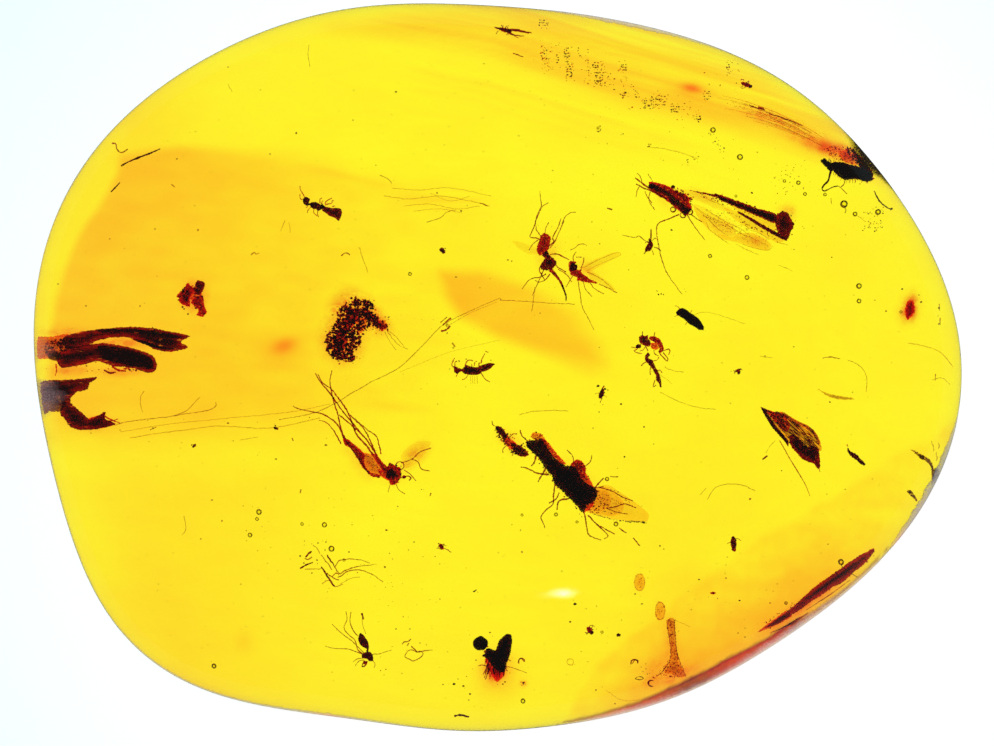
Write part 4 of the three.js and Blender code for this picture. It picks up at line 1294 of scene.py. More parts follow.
for q, r in [([(542, 266), (540, 267), (540, 272), (545, 280)], (0.7, 0.5)), ([(522, 289), (525, 285), (529, 280), (534, 278), (540, 277), (546, 274)], (0.35, 0.7)), ([(535, 280.5), (539, 282), (545, 280), (550, 274)], (0.4, 0.7)), ([(536, 229), (538, 232), (541, 236)], 0.6), ([(540, 191), (541, 203), (541.5, 207)], (0.35, 0.5)), ([(548, 203), (542, 207), (537, 218), (534, 227), (530, 237), (536, 238), (541, 240)], (0.35, 0.6, 0.6)), ([(541, 206), (536, 219), (536, 229)], 0.35), ([(561, 218.5), (558, 227), (553, 237), (553.5, 242), (549, 246)], (0.45, 0.7)), ([(564, 221), (560, 230), (555, 241), (550, 248)], (0.4, 0.65)), ([(576, 212), (570, 213), (565, 217), (562, 224)], (0.35, 0.45)), ([(550, 254.5), (556.5, 254), (562, 256), (569, 260)], (0.8, 0.5)), ([(544, 269), (541, 276), (537, 285), (532, 296)], (0.6, 0.3)), ([(532, 311), (535, 287)], 0.3), ([(556, 265), (559, 268), (566, 272)], 0.6), ([(538, 240), (533, 244), (529, 250)], 0.45), ([(545, 233), (546, 228), (549, 222)], 0.4), ([(500, 300), (520, 301), (548, 303), (575, 304)], 0.28)]:
    tube(p, q, r, Z, leg_red, 0.85, kink=0.5)
membrane(p, [(511, 241), (514, 243.5), (518, 248), (524, 252), (530, 254.5), (537, 254), (537, 248), (531, 246), (524, 243), (517, 241)], Z - 0.1, wing_pale)
p.make()
p = Pile("midge_b")
Z = 5.2
halo(p, (585, 271), (18, 12), Z - 0.4, stain_orange, power=0.55)
pillow(p, [(569, 262), (572, 261), (576, 262), (575, 267), (579, 270), (583, 267), (581, 272), (586, 276), (592, 280), (598, 283), (590, 283), (583, 282), (577, 280), (577, 277), (571, 275), (569, 270)], Z, maroon, step=0.65, rough=0.8, seed=33, floor=0.4)
ball(p, (573.5, 267), (3.2, 4.2), Z + 0.05, chitin, lump=0.3, thick=0.85)
membrane(p, [(582, 267), (589, 262), (598, 258), (608, 254), (617, 252), (621, 255), (614, 259), (604, 264), (595, 269), (587, 272)], Z + 0.1, wing_pale, tilt=(0.4, 0.2))
membrane(p, [(587, 272), (594, 273), (603, 278), (611, 284), (616, 291), (609, 290), (600, 284), (591, 279)], Z + 0.05, wing_pale)
for q, r in [([(583, 268), (598, 260), (617, 252.5), (621, 255)], (0.5, 0.25)), ([(586, 271), (598, 265), (612, 259), (621, 255)], (0.3, 0.15)), ([(584, 257), (583.5, 262), (581, 268)], 0.55), ([(576, 257), (582, 257)], 0.4), ([(574, 262), (573, 257), (576, 252)], 0.45), ([(587, 272), (600, 278), (614, 290)], (0.6, 0.35)), ([(578, 280), (580, 292), (582, 306), (588, 318), (594, 330)], (0.5, 0.25)), ([(599, 284), (608, 288), (617, 293)], 0.45), ([(558, 269), (567, 275), (572, 282)], 0.5), ([(570, 250), (575, 248), (578, 245), (583, 244), (587, 245.5)], 0.35), ([(573, 275), (569, 282), (566, 287)], 0.45), ([(590, 283), (595, 289), (604, 294)], 0.4), ([(583, 281), (586, 290), (592, 297)], 0.35)]:
    vein = q[-1] in ((621, 255), (614, 290))
    tube(p, q, r, Z, hair if vein else leg_red, 0.5 if vein else 0.85, kink=0.4)
p.make()

# ---------------------------------------------------------------------------
# Long winged insect at the upper right, and the small one under it
# ---------------------------------------------------------------------------
p = Pile("long_winged_insect")
Z = 4.9
halo(p, (671, 199), (22, 12), Z - 0.5, stain_orange, turn=0.6, power=0.45)
pillow(p, [(648.5, 182), (651.5, 185), (657.6, 185), (660, 187), (668.5, 191.5), (676, 198), (684, 205), (691.5, 208.5), (690, 212), (685, 216), (681, 212), (677, 207), (671, 204), (668.5, 199), (665, 195), (656, 191.5), (650, 188)], Z, chitin, step=0.8, rough=0.8, seed=34, floor=0.35, lump=0.3)
pillow(p, [(649, 182), (656, 182.5), (664, 184.5), (672, 188), (681, 195), (690, 203), (692, 209), (686, 214.5), (679, 211), (672, 205), (661, 196.5), (651, 189.5)], Z - 0.1, maroon, step=0.8, rough=0.8, seed=134, lump=0.4)
pillow(p, [(664, 186), (671, 189), (678, 192), (685, 194), (690, 198), (689, 202), (683, 200), (677, 195)], Z + 0.1, maroon, step=0.8, rough=0.6, seed=35)
scatter(p, [(674, 187), (684, 190), (694, 196), (692, 206), (684, 200), (676, 193)], 60, (0.5, 1.1), Z + 0.2, [ruddy, maroon, orange])
# a pale line painted along the body as a highlight
tube(p, [(665, 193), (671, 196), (676, 201), (682, 205)], (0.3, 0.6, 0.3), Z + 0.6, pale_film_and_glints, 0.9)
ball(p, (673, 187), 2.0, Z, chitin, thick=0.9)
ball(p, (652, 186), (3.4, 2.6), Z, chitin, lump=0.25, thick=0.8)
membrane(p, [(678, 189), (688, 190), (699, 193), (712, 198), (724, 205), (733, 208.5), (724, 211), (712, 207), (699, 201), (689, 198)], Z + 0.1, wing_pale)
membrane(p, [(693, 205), (697.5, 208.5), (705, 214.5), (707, 224), (714.5, 233), (723, 235), (731.5, 237.5), (738, 233), (745, 233), (753, 233), (765, 239), (771.5, 245), (768, 250), (756, 248.5), (742, 244), (731, 241), (722, 239), (714, 234), (705, 226), (697, 216)], Z - 0.1, wing, step=1.6)
membrane(p, [(693, 204), (704, 207), (712, 213), (721, 218), (729, 224), (736, 231), (731, 238), (722, 235.5), (714, 232), (707, 224), (704, 214)], Z + 0.02, wing_pale, step=1.6)
membrane(p, [(724, 208), (739, 212), (751, 217), (765, 225), (776, 232), (787, 239), (778, 243), (768, 238), (756, 231), (744, 226), (733, 218)], Z + 0.05, wing, step=1.6)
dark = [(690, 190.5), (697.5, 191.3), (717, 195), (726, 198.5), (737, 202.5), (748, 206.5), (760, 210.5), (774, 215.5), (774, 222), (764, 217.5), (758, 215.5), (747, 210.5), (736, 206), (725, 202), (716, 197.4), (700, 193.3)]
pillow(p, dark, Z + 0.2, chitin, step=0.9, rough=0.8, seed=36, floor=0.2, fat=0.7)
pillow(p, [(714, 193.5), (727, 197), (741, 202), (756, 207.5), (776, 214), (776, 224), (766, 220), (750, 213), (736, 207), (722, 201)], Z + 0.1, chitin, step=0.9, rough=0.9, seed=136, fat=0.6)
pillow(p, [(738, 211), (751, 217.5), (765, 226), (776, 231.5), (787, 238), (786, 241), (774, 235), (764, 229.5), (750, 220.5), (738, 213)], Z + 0.2, chitin, step=0.8, rough=0.6, seed=37, floor=0.4, fat=0.7)
membrane(p, [(728, 204), (744, 208), (764, 216), (775, 222), (776, 231), (766, 226), (752, 218), (738, 211)], Z + 0.1, wing, step=1.6)
dots(p, [(705, 215), (714, 221), (724, 225), (736, 231), (748, 236)], 0.5, Z + 0.2, leg_red, 1.3, 0.8)
dots(p, [(740, 221), (750, 226), (760, 231), (770, 236), (778, 241)], 0.6, Z + 0.2, legs, 1.2, 1.0)
dots(p, [(722, 212), (732, 214), (742, 219)], 0.45, Z + 0.2, legs, 1.3, 0.8)
halo(p, (722, 226), (20, 9), Z - 0.2, stain_orange, turn=0.45, power=0.55)
halo(p, (757, 241), (15, 7), Z - 0.2, stain_orange, turn=0.2, power=0.6)
halo(p, (703, 196), (18, 6), Z - 0.2, stain_orange, turn=0.3, power=0.5)
pillow(p, [(776, 216), (782, 211), (788, 213), (792, 221), (794.5, 224), (791, 231.5), (788, 239), (782, 236), (777.5, 231.5), (775, 223)], Z + 0.15, chitin, step=0.8, rough=0.7, seed=39, floor=0.4, lump=0.3)
halo(p, (787, 212), (11, 8), Z, stain_orange, power=0.8)
tube(p, [(671, 191.5), (678, 198), (688, 205)], 0.5, Z + 0.3, wing_pale, 0.5)
for q, r in [([(635, 178), (642, 183), (650, 189), (660, 195), (667, 200)], (0.7, 1.2)), ([(636, 184), (644, 188), (653, 192), (662, 197)], (0.6, 1.1)), ([(645, 191.5), (648, 198), (652, 203)], 0.5), ([(642, 182), (640, 176), (637, 173)], 0.4), ([(640, 185), (637, 191), (636, 197)], 0.4), ([(650, 192), (649, 201), (655, 210)], 0.4), ([(679, 214.5), (668.5, 219), (658, 224), (657, 235), (659, 247), (661, 257), (667, 273), (674.5, 284), (682, 294.5)], (0.7, 0.5, 0.3)), ([(687, 215), (695, 227), (705, 240)], (0.6, 0.35)), ([(690, 214), (702, 222)], 0.5), ([(744, 222), (748, 226), (746, 230), (751, 228)], 0.6), ([(751, 230), (759, 233), (770, 240)], 0.55), ([(776, 242), (788, 245)], 0.6), ([(714.5, 234), (722, 239), (729, 244)], 0.6), ([(736, 244), (747, 250), (759, 255)], 0.55), ([(779, 265), (786, 268), (793, 271)], 0.5), ([(693, 205), (705, 214), (716, 220), (729, 226), (740, 233), (756, 240), (768, 246)], 0.5), ([(697, 209), (708, 219), (717, 228), (728, 236)], 0.4), ([(705, 209), (716, 216), (728, 223), (739, 228), (751, 236)], 0.35), ([(700, 196), (712, 201), (724, 206)], 0.4), ([(742, 244), (756, 248.5), (768, 250), (773, 246)], 0.45), ([(706, 222), (710, 230), (716, 234)], 0.45), ([(655, 188), (652, 180), (648, 174)], 0.35)]:
    vein = min(u[0] for u in q) > 688 and q[0] != (690, 214)
    tube(p, q, (0.2, 0.42, 0.2) if vein else r, Z + 0.05, faint if vein else leg_red, 0.85, kink=0.35)
for c, r in [((673, 209.5), 2.5), ((690, 212), 2.6), ((683, 215), 2.8)]:
    a = np.linspace(0, 2 * math.pi, 12)
    tube(p, [(c[0] + r * math.cos(t), c[1] + r * math.sin(t)) for t in a], 0.6, Z, maroon, 0.9, step=0.8)
for i in range(150):
    t, s = RNG.rand(), RNG.normal(0, 1)
    x0, y0 = (697 + 78 * t, 193 + 26 * t + s * (1.0 + 2.2 * t)) if i % 2 else (775 + 18 * t, 213 + 22 * RNG.rand())
    grain(p, x0, y0, RNG.uniform(0.4, 0.85), Z + 0.25, [chitin, maroon, ruddy][RNG.randint(3)])
for i in range(160):
    t, s = RNG.rand(), RNG.uniform(-1, 1)
    grain(p, 706 + 62 * t, 216 + 27 * t + s * 8, RNG.uniform(0.25, 0.45), Z, [legs, leg_red][RNG.randint(2)], 0.5)
for c in [(657, 291), (658.5, 294.5), (661, 294), (663.5, 294.5)]:
    grain(p, c[0], c[1], 0.8, Z, chitin)
p.make()
p = Pile("small_insect")
Z = 4.2
pillow(p, [(649, 238), (651, 240), (653, 244), (653, 247), (650, 251), (645, 251.5), (645.5, 247), (648, 243)], Z, chitin, step=0.6, rough=0.6, seed=41, floor=0.5)
for q, r in [([(651, 229), (651, 236), (650.5, 244)], (0.7, 1.0)), ([(654, 247), (658, 248.5), (661, 251)], 0.6), ([(622, 235), (634.5, 237.5), (639, 236), (644, 240), (649, 243)], (0.3, 0.5)), ([(647, 250), (644, 254)], 0.5), ([(652, 250), (654, 255)], 0.4), ([(648, 241), (645, 243)], 0.5), ([(652, 241), (655, 238), (657, 239)], 0.45)]:
    tube(p, q, r, Z, legs, 0.9)
p.make()

# ---------------------------------------------------------------------------
# Biggest insect, and the one beside it
# ---------------------------------------------------------------------------
p = Pile("big_insect")
Z = 4.6
halo(p, (575, 480), (26, 17), Z - 0.5, stain_orange, turn=0.75, power=0.5)
body = [(526, 442), (531, 440), (536, 440), (541, 439), (545, 443), (549, 450), (554, 457), (560, 462), (566, 466), (571, 465.5), (576, 468), (579, 473), (582, 479), (588, 484), (592, 486), (597, 490), (597, 497), (592, 503), (586, 506), (585, 511), (581, 512), (578, 507), (571, 500), (564, 493), (555, 485), (552, 476.5), (545, 468), (538, 458), (531, 451), (527, 447)]
pillow(p, body, Z, black, step=0.95, rough=0.9, seed=42, floor=0.45, lump=0.3, ridges=((0.7, 0.7), 6.0, 0.10))
pillow(p, [(530, 437), (534, 432), (541, 433.5), (545, 439), (548, 444), (543, 443), (537, 441)], Z + 0.02, orange, step=0.8, rough=0.8, seed=43)
scatter(p, [(531, 437), (535, 432), (542, 434), (547, 442), (540, 442)], 40, (0.5, 1.0), Z + 0.2, [ruddy, maroon, orange])
pillow(p, [(541, 438), (546, 440), (551, 446), (557, 454), (563, 460), (566, 464), (561, 464), (554, 458), (548, 450), (543, 443)], Z + 0.25, ruddy, step=0.8, rough=0.7, seed=44, fat=0.5)
pillow(p, [(570, 466), (573, 462), (577, 459.5), (582, 461), (586, 468), (585, 475), (581, 478), (575, 474)], Z + 0.1, maroon, step=0.8, rough=0.9, seed=45, fat=0.9, lump=0.4)
scatter(p, [(572, 464), (577, 460), (583, 462), (586, 469), (590, 480), (584, 480), (576, 472)], 60, (0.5, 1.1), Z + 0.45, [ruddy, maroon, orange])
pillow(p, [(577, 473), (585, 473), (590, 480), (594, 487), (586, 487), (579, 481)], Z + 0.2, ruddy, step=0.8, rough=0.9, seed=46, fat=0.6, lump=0.4)
# pale strokes painted on the head as highlights
for q in [[(530, 443.5), (533, 442), (537, 443)], [(536, 447), (539, 449), (541, 453.5)], [(527, 445), (529, 447.5)]]:
    tube(p, q, (0.2, 0.5, 0.2), Z + 1.0, pale_film_and_glints, 0.9)
pillow(p, [(584, 503), (590, 500), (594, 503), (590, 509), (585, 512)], Z + 0.2, ruddy, step=0.8, rough=0.8, seed=47)
wingp = [(595, 489), (604, 485), (611, 486), (621, 493), (632, 500), (641, 507), (648, 513), (649, 517), (646, 522), (636, 522), (622, 520), (607, 518), (592, 514), (586, 511), (590, 503)]
membrane(p, wingp, Z + 0.2, wing, step=1.4)
membrane(p, [(594, 490), (603, 487), (610, 489), (617, 495), (624, 503), (622, 513), (612, 516), (598, 514), (587, 510)], Z + 0.1, wing, step=1.4)
membrane(p, [(597, 491), (606, 490), (611, 497), (609, 508), (598, 511), (590, 508)], Z, wing, step=1.4)
for q, r in [([(596, 488), (604, 486)], 0.4), ([(598, 487), (612, 491), (622, 497), (633, 501)], 0.6), ([(606, 508), (615, 507), (625.5, 504), (636, 508)], 0.6), ([(606, 508), (616, 512), (628, 514)], 0.5), 
             ([(536, 456), (534, 463), (531, 466)], (1.1, 0.6)), ([(521, 467), (526.5, 468), (531, 470), (538, 473.5), (549, 474.5)], (0.6, 1.1)), ([(546, 468), (541, 476.5), (538, 482)], (1.1, 0.6)), ([(555, 484), (553.6, 495), (553, 504), (546, 510), (541, 517), (543, 523), (545, 528)], (0.9, 0.5)), ([(569, 498.5), (559, 501), (557, 510)], (1.0, 0.7)), ([(595, 488), (598, 484), (603.6, 478)], (1.1, 0.6)), ([(610, 476.5), (618, 477)], 0.5), ([(583, 511), (585, 517), (587, 529), (589, 535), (595, 538), (601, 540)], (0.9, 0.5)), ([(588, 515), (596, 523.5), (604, 531), (608, 536), (604, 539)], (0.9, 0.5)), ([(597, 524.5), (607, 530), (615, 534)], 0.6), ([(619, 528), (626.5, 533)], 0.6), ([(633, 538), (640, 546)], 0.6), ([(559, 493), (556, 499), (549, 503)], 0.7), ([(528, 441), (522, 436), (520, 430)], 0.6), ([(574, 463), (572, 455), (567, 450)], 0.5), ([(584, 467), (590, 462), (592, 455)], 0.45)]:
    tube(p, q, r, Z, leg_red if r == 0.6 else legs, 0.9, kink=0.4)
for i in range(70):
    k = RNG.randint(len(body))
    q = np.array(body[k]) * RNG.uniform(0.0, 1.0) + np.array(body[(k + 1) % len(body)]) * 0
    a, b = np.array(body[k]), np.array(body[(k + 1) % len(body)])
    q = a + (b - a) * RNG.rand() + RNG.normal(0, 1.3, 2)
    grain(p, q[0], q[1], RNG.uniform(0.5, 1.1), Z + RNG.uniform(-0.2, 0.3), [chitin, maroon, ruddy][RNG.randint(3)])
dots(p, [(597, 487), (606, 487), (616, 491), (628, 498), (640, 507)], 0.35, Z + 0.3, leg_red, 2.4, 0.3, 0.6)
dots(p, [(594, 514), (606, 517.5), (618, 520), (628, 521.5), (636, 522), (646, 523)], 0.6, Z + 0.3, chitin, 1.4, 0.35)
dots(p, [(628, 521), (637, 521.5), (645, 522)], 0.75, Z + 0.3, black, 1.0, 0.3)
for q in [[(598, 491), (606, 495), (614, 500), (621, 503)], [(597, 502), (605, 505), (613, 508), (619, 511)], [(600, 497), (608, 500), (617, 504)], [(596, 509), (606, 512), (616, 514)], [(614, 508), (620, 505), (626, 504)], [(611, 489), (620, 495), (630, 503)]]:
    dots(p, q, 0.5, Z + 0.3, [leg_red, maroon][RNG.randint(2)], 1.7, 0.55)
scatter(p, [(589, 494), (597, 489), (604, 496), (608, 505), (600, 513), (588, 513), (584, 506)], 70, (0.4, 0.9), Z + 0.3, [ruddy, maroon, leg_red])
p.make()
p = Pile("insect_beside")
Z = 4.3
halo(p, (511, 441), (16, 11), Z - 0.3, stain_orange, turn=0.7, power=0.5)
pillow(p, [(496, 426), (500, 426.5), (504, 430), (507, 436), (505, 441), (500, 435), (496, 431)], Z, chitin, step=0.7, rough=0.7, seed=48, floor=0.35)
pillow(p, [(503, 434), (507, 435), (511, 439), (516, 443), (519, 448), (515, 451), (509, 448), (504, 442)], Z, ruddy, step=0.7, rough=0.8, seed=49, lump=0.4)
pillow(p, [(510, 443), (516, 444), (521, 446), (525.5, 450), (529, 454), (525.5, 457), (519, 456), (513, 451)], Z, chitin, step=0.7, rough=0.7, seed=50, floor=0.3)
for i in range(40):
    t = RNG.rand()
    grain(p, 497 + 30 * t + RNG.normal(0, 2.6), 428 + 27 * t + RNG.normal(0, 2.6), RNG.uniform(0.5, 1.2), Z + RNG.uniform(-0.2, 0.2), [chitin, maroon, ruddy][RNG.randint(3)])
for q in [[(497, 427), (493, 425), (492, 421)], [(500, 434), (496, 437)], [(507, 445), (503, 449), (503, 453)], [(514, 451), (512, 456)], [(509, 438), (513, 434), (517, 434)], [(520, 446), (524, 443)]]:
    tube(p, q, 0.5, Z, legs, 0.85)
scatter(p, [(494, 428), (499, 425), (503, 430), (508, 440), (514, 446), (524, 449), (528, 455), (521, 457), (512, 453), (505, 445), (498, 437)], 70, (0.7, 1.3), Z + 0.2, [chitin, maroon, ruddy, black])
p.make()

# ---------------------------------------------------------------------------
# Red crane fly
# ---------------------------------------------------------------------------
p = Pile("crane_fly")
Z = 4.6
halo(p, (366, 462), (26, 14), Z - 0.4, stain_orange, turn=0.75, power=0.6)
halo(p, (393, 474), (14, 12), Z - 0.4, stain_red, power=0.3)
pillow(p, [(343.5, 437), (349, 440), (355, 445), (362, 451), (365, 455), (364, 460), (366, 467), (371, 472.5), (380, 475), (380, 477), (373, 477), (368, 473), (362, 467), (356, 456), (350, 448), (345, 445), (343, 440)], Z, maroon, step=0.75, rough=0.6, seed=51, floor=0.2)
pillow(p, [(362, 453), (373, 455), (380, 467), (382, 475), (371, 473), (363, 463)], Z - 0.1, wing_red, step=0.8, rough=0.5, seed=52, fat=0.7)
pillow(p, [(371, 453), (377, 455), (382.5, 462), (389, 469), (383, 471.5), (377, 463)], Z, maroon, step=0.7, rough=0.5, seed=53)
pillow(p, [(385, 470), (390.5, 463), (396, 466), (401, 469), (401, 477), (396, 484), (390.5, 485), (388, 477)], Z, maroon, step=0.75, rough=0.8, seed=54, floor=0.3)
pillow(p, [(378, 470), (388, 468), (392, 474), (390, 481), (382, 477)], Z, ruddy, step=0.8, rough=0.6, seed=55)
a = np.linspace(0, 2 * math.pi, 14)
tube(p, [(400 + 4 * math.cos(t), 465.6 + 4 * math.sin(t)) for t in a], 0.6, Z, leg_red, 0.9, step=0.9)
ball(p, (404, 477), 1.9, Z, maroon)
tube(p, [(404, 477), (408, 476), (411, 478), (409, 480.5)], 0.7, Z, leg_red, 0.9)
ball(p, (391, 474), (4.2, 5.0), Z + 0.1, chitin, lump=0.35, thick=0.7)
halo(p, (417, 454), (15, 9), Z - 0.1, stain_orange, turn=-0.75, power=0.75, soft=1.3)
halo(p, (407, 466), (8, 6), Z - 0.1, stain_red, turn=-0.75, power=0.3)
membrane(p, [(401, 456), (409, 446), (420, 441), (431, 442), (424, 454), (414, 465), (404, 468)], Z + 0.05, wing_pale, step=1.5)
for q, r in [([(401, 463), (412, 459), (420, 452), (431, 448)], 0.55), ([(412, 459), (418, 462), (421.5, 469), (430, 471)], 0.5), ([(404, 470), (410, 474), (416, 481)], 0.45), ([(396, 484), (399, 490), (405, 494)], 0.4), ([(390, 485), (388, 492)], 0.4)]:
    tube(p, q, r, Z + 0.1, leg_red, 0.75)
for q, r in [([(315, 373), (320.5, 382), (330, 393), (334, 399)], (0.5, 0.9)), ([(318, 374), (322, 382), (331, 389), (339, 399), (346, 409), (349, 415), (353, 425), (357, 435), (366, 445), (373, 455)], (0.5, 0.9, 1.1)), ([(332, 370), (330, 381), (331, 389), (334, 402.5), (338, 415), (341, 429), (345, 438)], (0.4, 0.8, 0.9)), ([(293, 406), (299, 409), (314, 412), (325, 415), (335, 422), (341, 431), (343.5, 438)], (0.4, 0.7, 0.9)), ([(319, 420), (327, 423), (334, 431), (338, 438), (341, 444)], (0.4, 0.8)), ([(355, 418.5), (365, 428), (376, 436), (379, 445), (381, 454)], (0.4, 0.8)), ([(339, 415), (350, 424), (365, 438), (376, 454)], (0.7, 0.9)), ([(350, 415), (359.5, 424), (366, 432), (373, 447), (377, 456)], (0.6, 0.9)), ([(334, 399), (341, 409), (350, 420), (360, 432)], (0.9, 0.7)), ([(345, 440), (352, 449), (360, 461), (369, 474)], (0.8, 1.0))]:
    tube(p, q, r, Z + 0.05, leg_red, 0.8, kink=0.4)
scatter(p, [(384, 470), (390, 463), (401, 466), (402, 477), (396, 485), (388, 483)], 60, (0.6, 1.2), Z + 0.2, [maroon, chitin, ruddy])
dots(p, [(344, 437), (352, 447), (360, 460), (370, 473), (380, 477)], 0.7, Z + 0.25, maroon, 1.2, 0.6)
dots(p, [(362, 453), (371, 459), (378, 468), (382, 476)], 0.6, Z + 0.25, maroon, 1.4, 0.6)
dots(p, [(364, 459), (370, 464), (374, 472)], 0.5, Z + 0.2, ruddy, 1.4, 0.6)
p.make()
tubes_ = [[(500, 298), (470, 311), (443, 325), (425, 343), (408, 360), (397, 369), (386, 375), (373, 381), (361, 388), (350, 394), (340, 401), (332, 405), (320.5, 410.5), (314, 413), (296, 417), (279, 419.5)]]
p = Pile("long_fibre")
tube(p, tubes_[0], (0.3, 0.42, 0.5, 0.35), 3.4, hair, 0.8, kink=0.6)
tube(p, [(497, 302), (470, 313), (446, 327)], (0.2, 0.3), 3.3, hair, 0.6, kink=0.6)
p.make()

# ---------------------------------------------------------------------------
# Plant pieces at the left rim
# ---------------------------------------------------------------------------
woody = remains("plant fibre", (0.08, 0.004, 0.006), (0.20, 0.010, 0.010), (0.86, 0.12, 0.06), (0.68, 0.04, 0.04), 0.20, 0.90, 0.42, scale=9000, vary=0.8, grain_len=5.0, bump=0.7, glint=0.5, glint_at=0.62, glint_scale=13000)
plant_red = remains("plant tissue red", (0.55, 0.03, 0.02), (0.40, 0.02, 0.03), (0.96, 0.30, 0.14), (0.90, 0.14, 0.09), 0.08, 0.42, 0.6, scale=8000, vary=1.0, grain_len=3.0, glint=0.6, glint_at=0.58)
greyish = remains("plant film grey", (0.50, 0.42, 0.52), (0.30, 0.18, 0.26), (0.80, 0.52, 0.55), (0.62, 0.34, 0.36), 0.25, 0.80, 0.50, scale=6000, vary=0.9, glint=0.5, glint_at=0.58, glint_tint=(0.95, 0.8, 0.9))
p = Pile("twig_upper")
Z = 3.9
halo(p, (118, 343), (40, 7), Z - 0.5, stain_orange, power=0.9)
halo(p, (70, 334), (34, 8), Z - 0.5, stain_orange, power=0.6)
twig_end = remains("plant end", (0.62, 0.10, 0.06), (0.50, 0.08, 0.10), (0.98, 0.52, 0.34), (0.93, 0.34, 0.26), 0.05, 0.34, 0.5, scale=9000, vary=1.2, glint=0.6, glint_at=0.55, glint_tint=(1.0, 0.75, 0.6))
pillow(p, [(37.5, 338), (44, 336.5), (54, 336.5), (68, 334), (72, 346), (62, 354), (52, 357), (44, 359), (37.5, 358)], Z - 0.05, twig_end, step=0.9, rough=1.0, seed=160, fat=0.5)
pillow(p, [(64, 345), (62, 341), (64, 337), (71, 334), (86, 331), (102, 329), (122, 327), (135, 327), (153, 328), (167, 331), (179, 333), (190, 336), (184.5, 339.5), (181, 342), (188, 347), (182, 350), (168, 352), (154, 349), (141, 342), (131, 338), (122, 337), (109, 338), (96.5, 341), (91, 344), (82, 347), (72, 349), (66, 349)], Z, woody, step=1.15, rough=0.7, seed=60, floor=0.25, lump=0.25, tilt=(0.06, 0))
pillow(p, [(96, 330), (112, 328.5), (135, 329), (153, 331), (170, 334), (184, 338), (170, 338), (150, 335), (125, 332), (104, 333)], Z + 0.3, woody, step=1.1, rough=0.5, seed=61, fat=0.6, floor=0.6)
pillow(p, [(130, 338), (145, 341), (160, 346), (178, 348), (166, 350), (152, 347), (138, 342)], Z + 0.25, woody, step=1.0, rough=0.5, seed=62, fat=0.7, floor=0.6)
for q in [[(122, 328), (132, 330), (146, 333), (166, 336)], [(100, 335), (120, 333), (140, 336), (158, 342)], [(60, 341), (80, 338), (104, 334)], [(150, 330), (166, 333), (186, 337)], [(48, 344), (70, 342), (90, 339)], [(132, 335), (150, 339), (170, 344)]]:
    tube(p, q, (0.5, 0.8, 0.4), Z + 0.42, plant_red, 0.55, kink=0.6)
p.make()
p = Pile("twig_lower")
Z = 3.5
halo(p, (70, 370), (22, 6), Z - 0.4, stain_orange, power=0.8)
halo(p, (122, 372), (24, 5), Z - 0.4, stain_orange, power=0.8)
pillow(p, [(58, 354), (62, 350), (72, 347), (86, 345), (102, 343), (112, 344), (128, 347), (142, 351), (153, 356), (157, 364), (155, 371), (148, 373), (135, 369), (122, 367), (112, 366), (104, 363), (96.5, 361), (86, 364), (75, 366), (62, 368), (58, 364), (56, 359)], Z, woody, step=1.15, rough=0.7, seed=63, floor=0.25, lump=0.25, tilt=(0.06, 0))
pillow(p, [(98, 346), (112, 346), (128, 349), (142, 353), (152, 359), (153, 368), (144, 369), (130, 366), (114, 362), (102, 358)], Z + 0.3, woody, step=1.1, rough=0.7, seed=64, fat=0.6, floor=0.55)
scatter(p, [(46, 341), (64, 338), (70, 346), (64, 356), (50, 358), (44, 352)], 130, (0.5, 1.2), Z + 0.3, [maroon, plant_red, ruddy, chitin])
scatter(p, [(56, 340), (72, 336), (76, 346), (66, 352), (56, 350)], 70, (0.6, 1.3), Z + 0.3, [maroon, chitin])
scatter(p, [(120, 360), (128, 360), (140, 366), (136, 371), (122, 369)], 30, (0.6, 1.2), Z + 0.1, [maroon, ruddy, plant_red])
tube(p, [(104, 370), (110, 373), (116, 372)], (0.8, 1.2, 0.7), Z, maroon, 0.8)
tube(p, [(112, 366), (118, 370), (126, 371)], (0.8, 1.3, 0.7), Z, plant_red, 0.8)
# pale scratches painted on the twigs as highlights
for x0, y0, x1, y1 in [(152, 327, 161, 336), (77, 341, 84, 346), (73, 347, 76, 340), (128, 330, 131, 327)]:
    tube(p, [(x0, y0), ((x0 + x1) / 2, (y0 + y1) / 2 + 0.7), (x1, y1)], (0.3, 0.6, 0.25), Z + 0.9, pale_film_and_glints, 0.95)
pillow(p, [(47, 352), (58, 351), (62, 357), (57, 361), (49, 359)], Z + 0.4, greyish, step=0.9, rough=0.6, seed=66, fat=0.6)
tube(p, [(56, 364), (56.5, 371), (55, 376)], (0.9, 0.35), Z, ruddy, 0.6)
for q in [[(76, 342), (80, 343), (86, 346)], [(66, 356), (84, 353), (104, 352)], [(105, 354), (124, 357), (146, 363)], [(60, 348), (80, 347), (96, 344)], [(110, 348), (130, 352), (150, 360)]]:
    tube(p, q, (0.5, 0.8, 0.4), Z + 0.5, plant_red, 0.5, kink=0.6)
for _ in range(30):
    grain(p, RNG.uniform(44, 156), RNG.uniform(362, 372), RNG.uniform(0.4, 0.8), Z, [maroon, ruddy][RNG.randint(2)])
p.make()
p = Pile("flake_left")
Z = 3.4
halo(p, (92, 424), (26, 10), Z - 0.3, stain_orange, power=0.5)
pillow(p, [(41, 382), (50, 380), (60, 382), (66, 388), (64, 396), (66, 404), (60, 412), (50, 411), (44.5, 414), (42, 404), (41, 393)], Z - 0.05, greyish, step=1.0, rough=1.2, seed=167, fat=0.3)
flake = [(55, 384), (52, 380.5), (58, 380), (77, 379), (96.5, 377), (93, 381), (89, 384), (88, 389), (82, 391), (76, 392), (71, 398), (71, 403), (80, 411), (89.5, 419), (99, 415), (105.5, 412), (105, 419), (116, 424), (103, 428), (91, 430), (79, 430), (70, 427), (65, 420), (60, 413), (62, 404), (60, 396), (57, 390)]
pillow(p, flake, Z, woody, step=1.1, rough=0.9, seed=67, floor=0.4, lump=0.25)
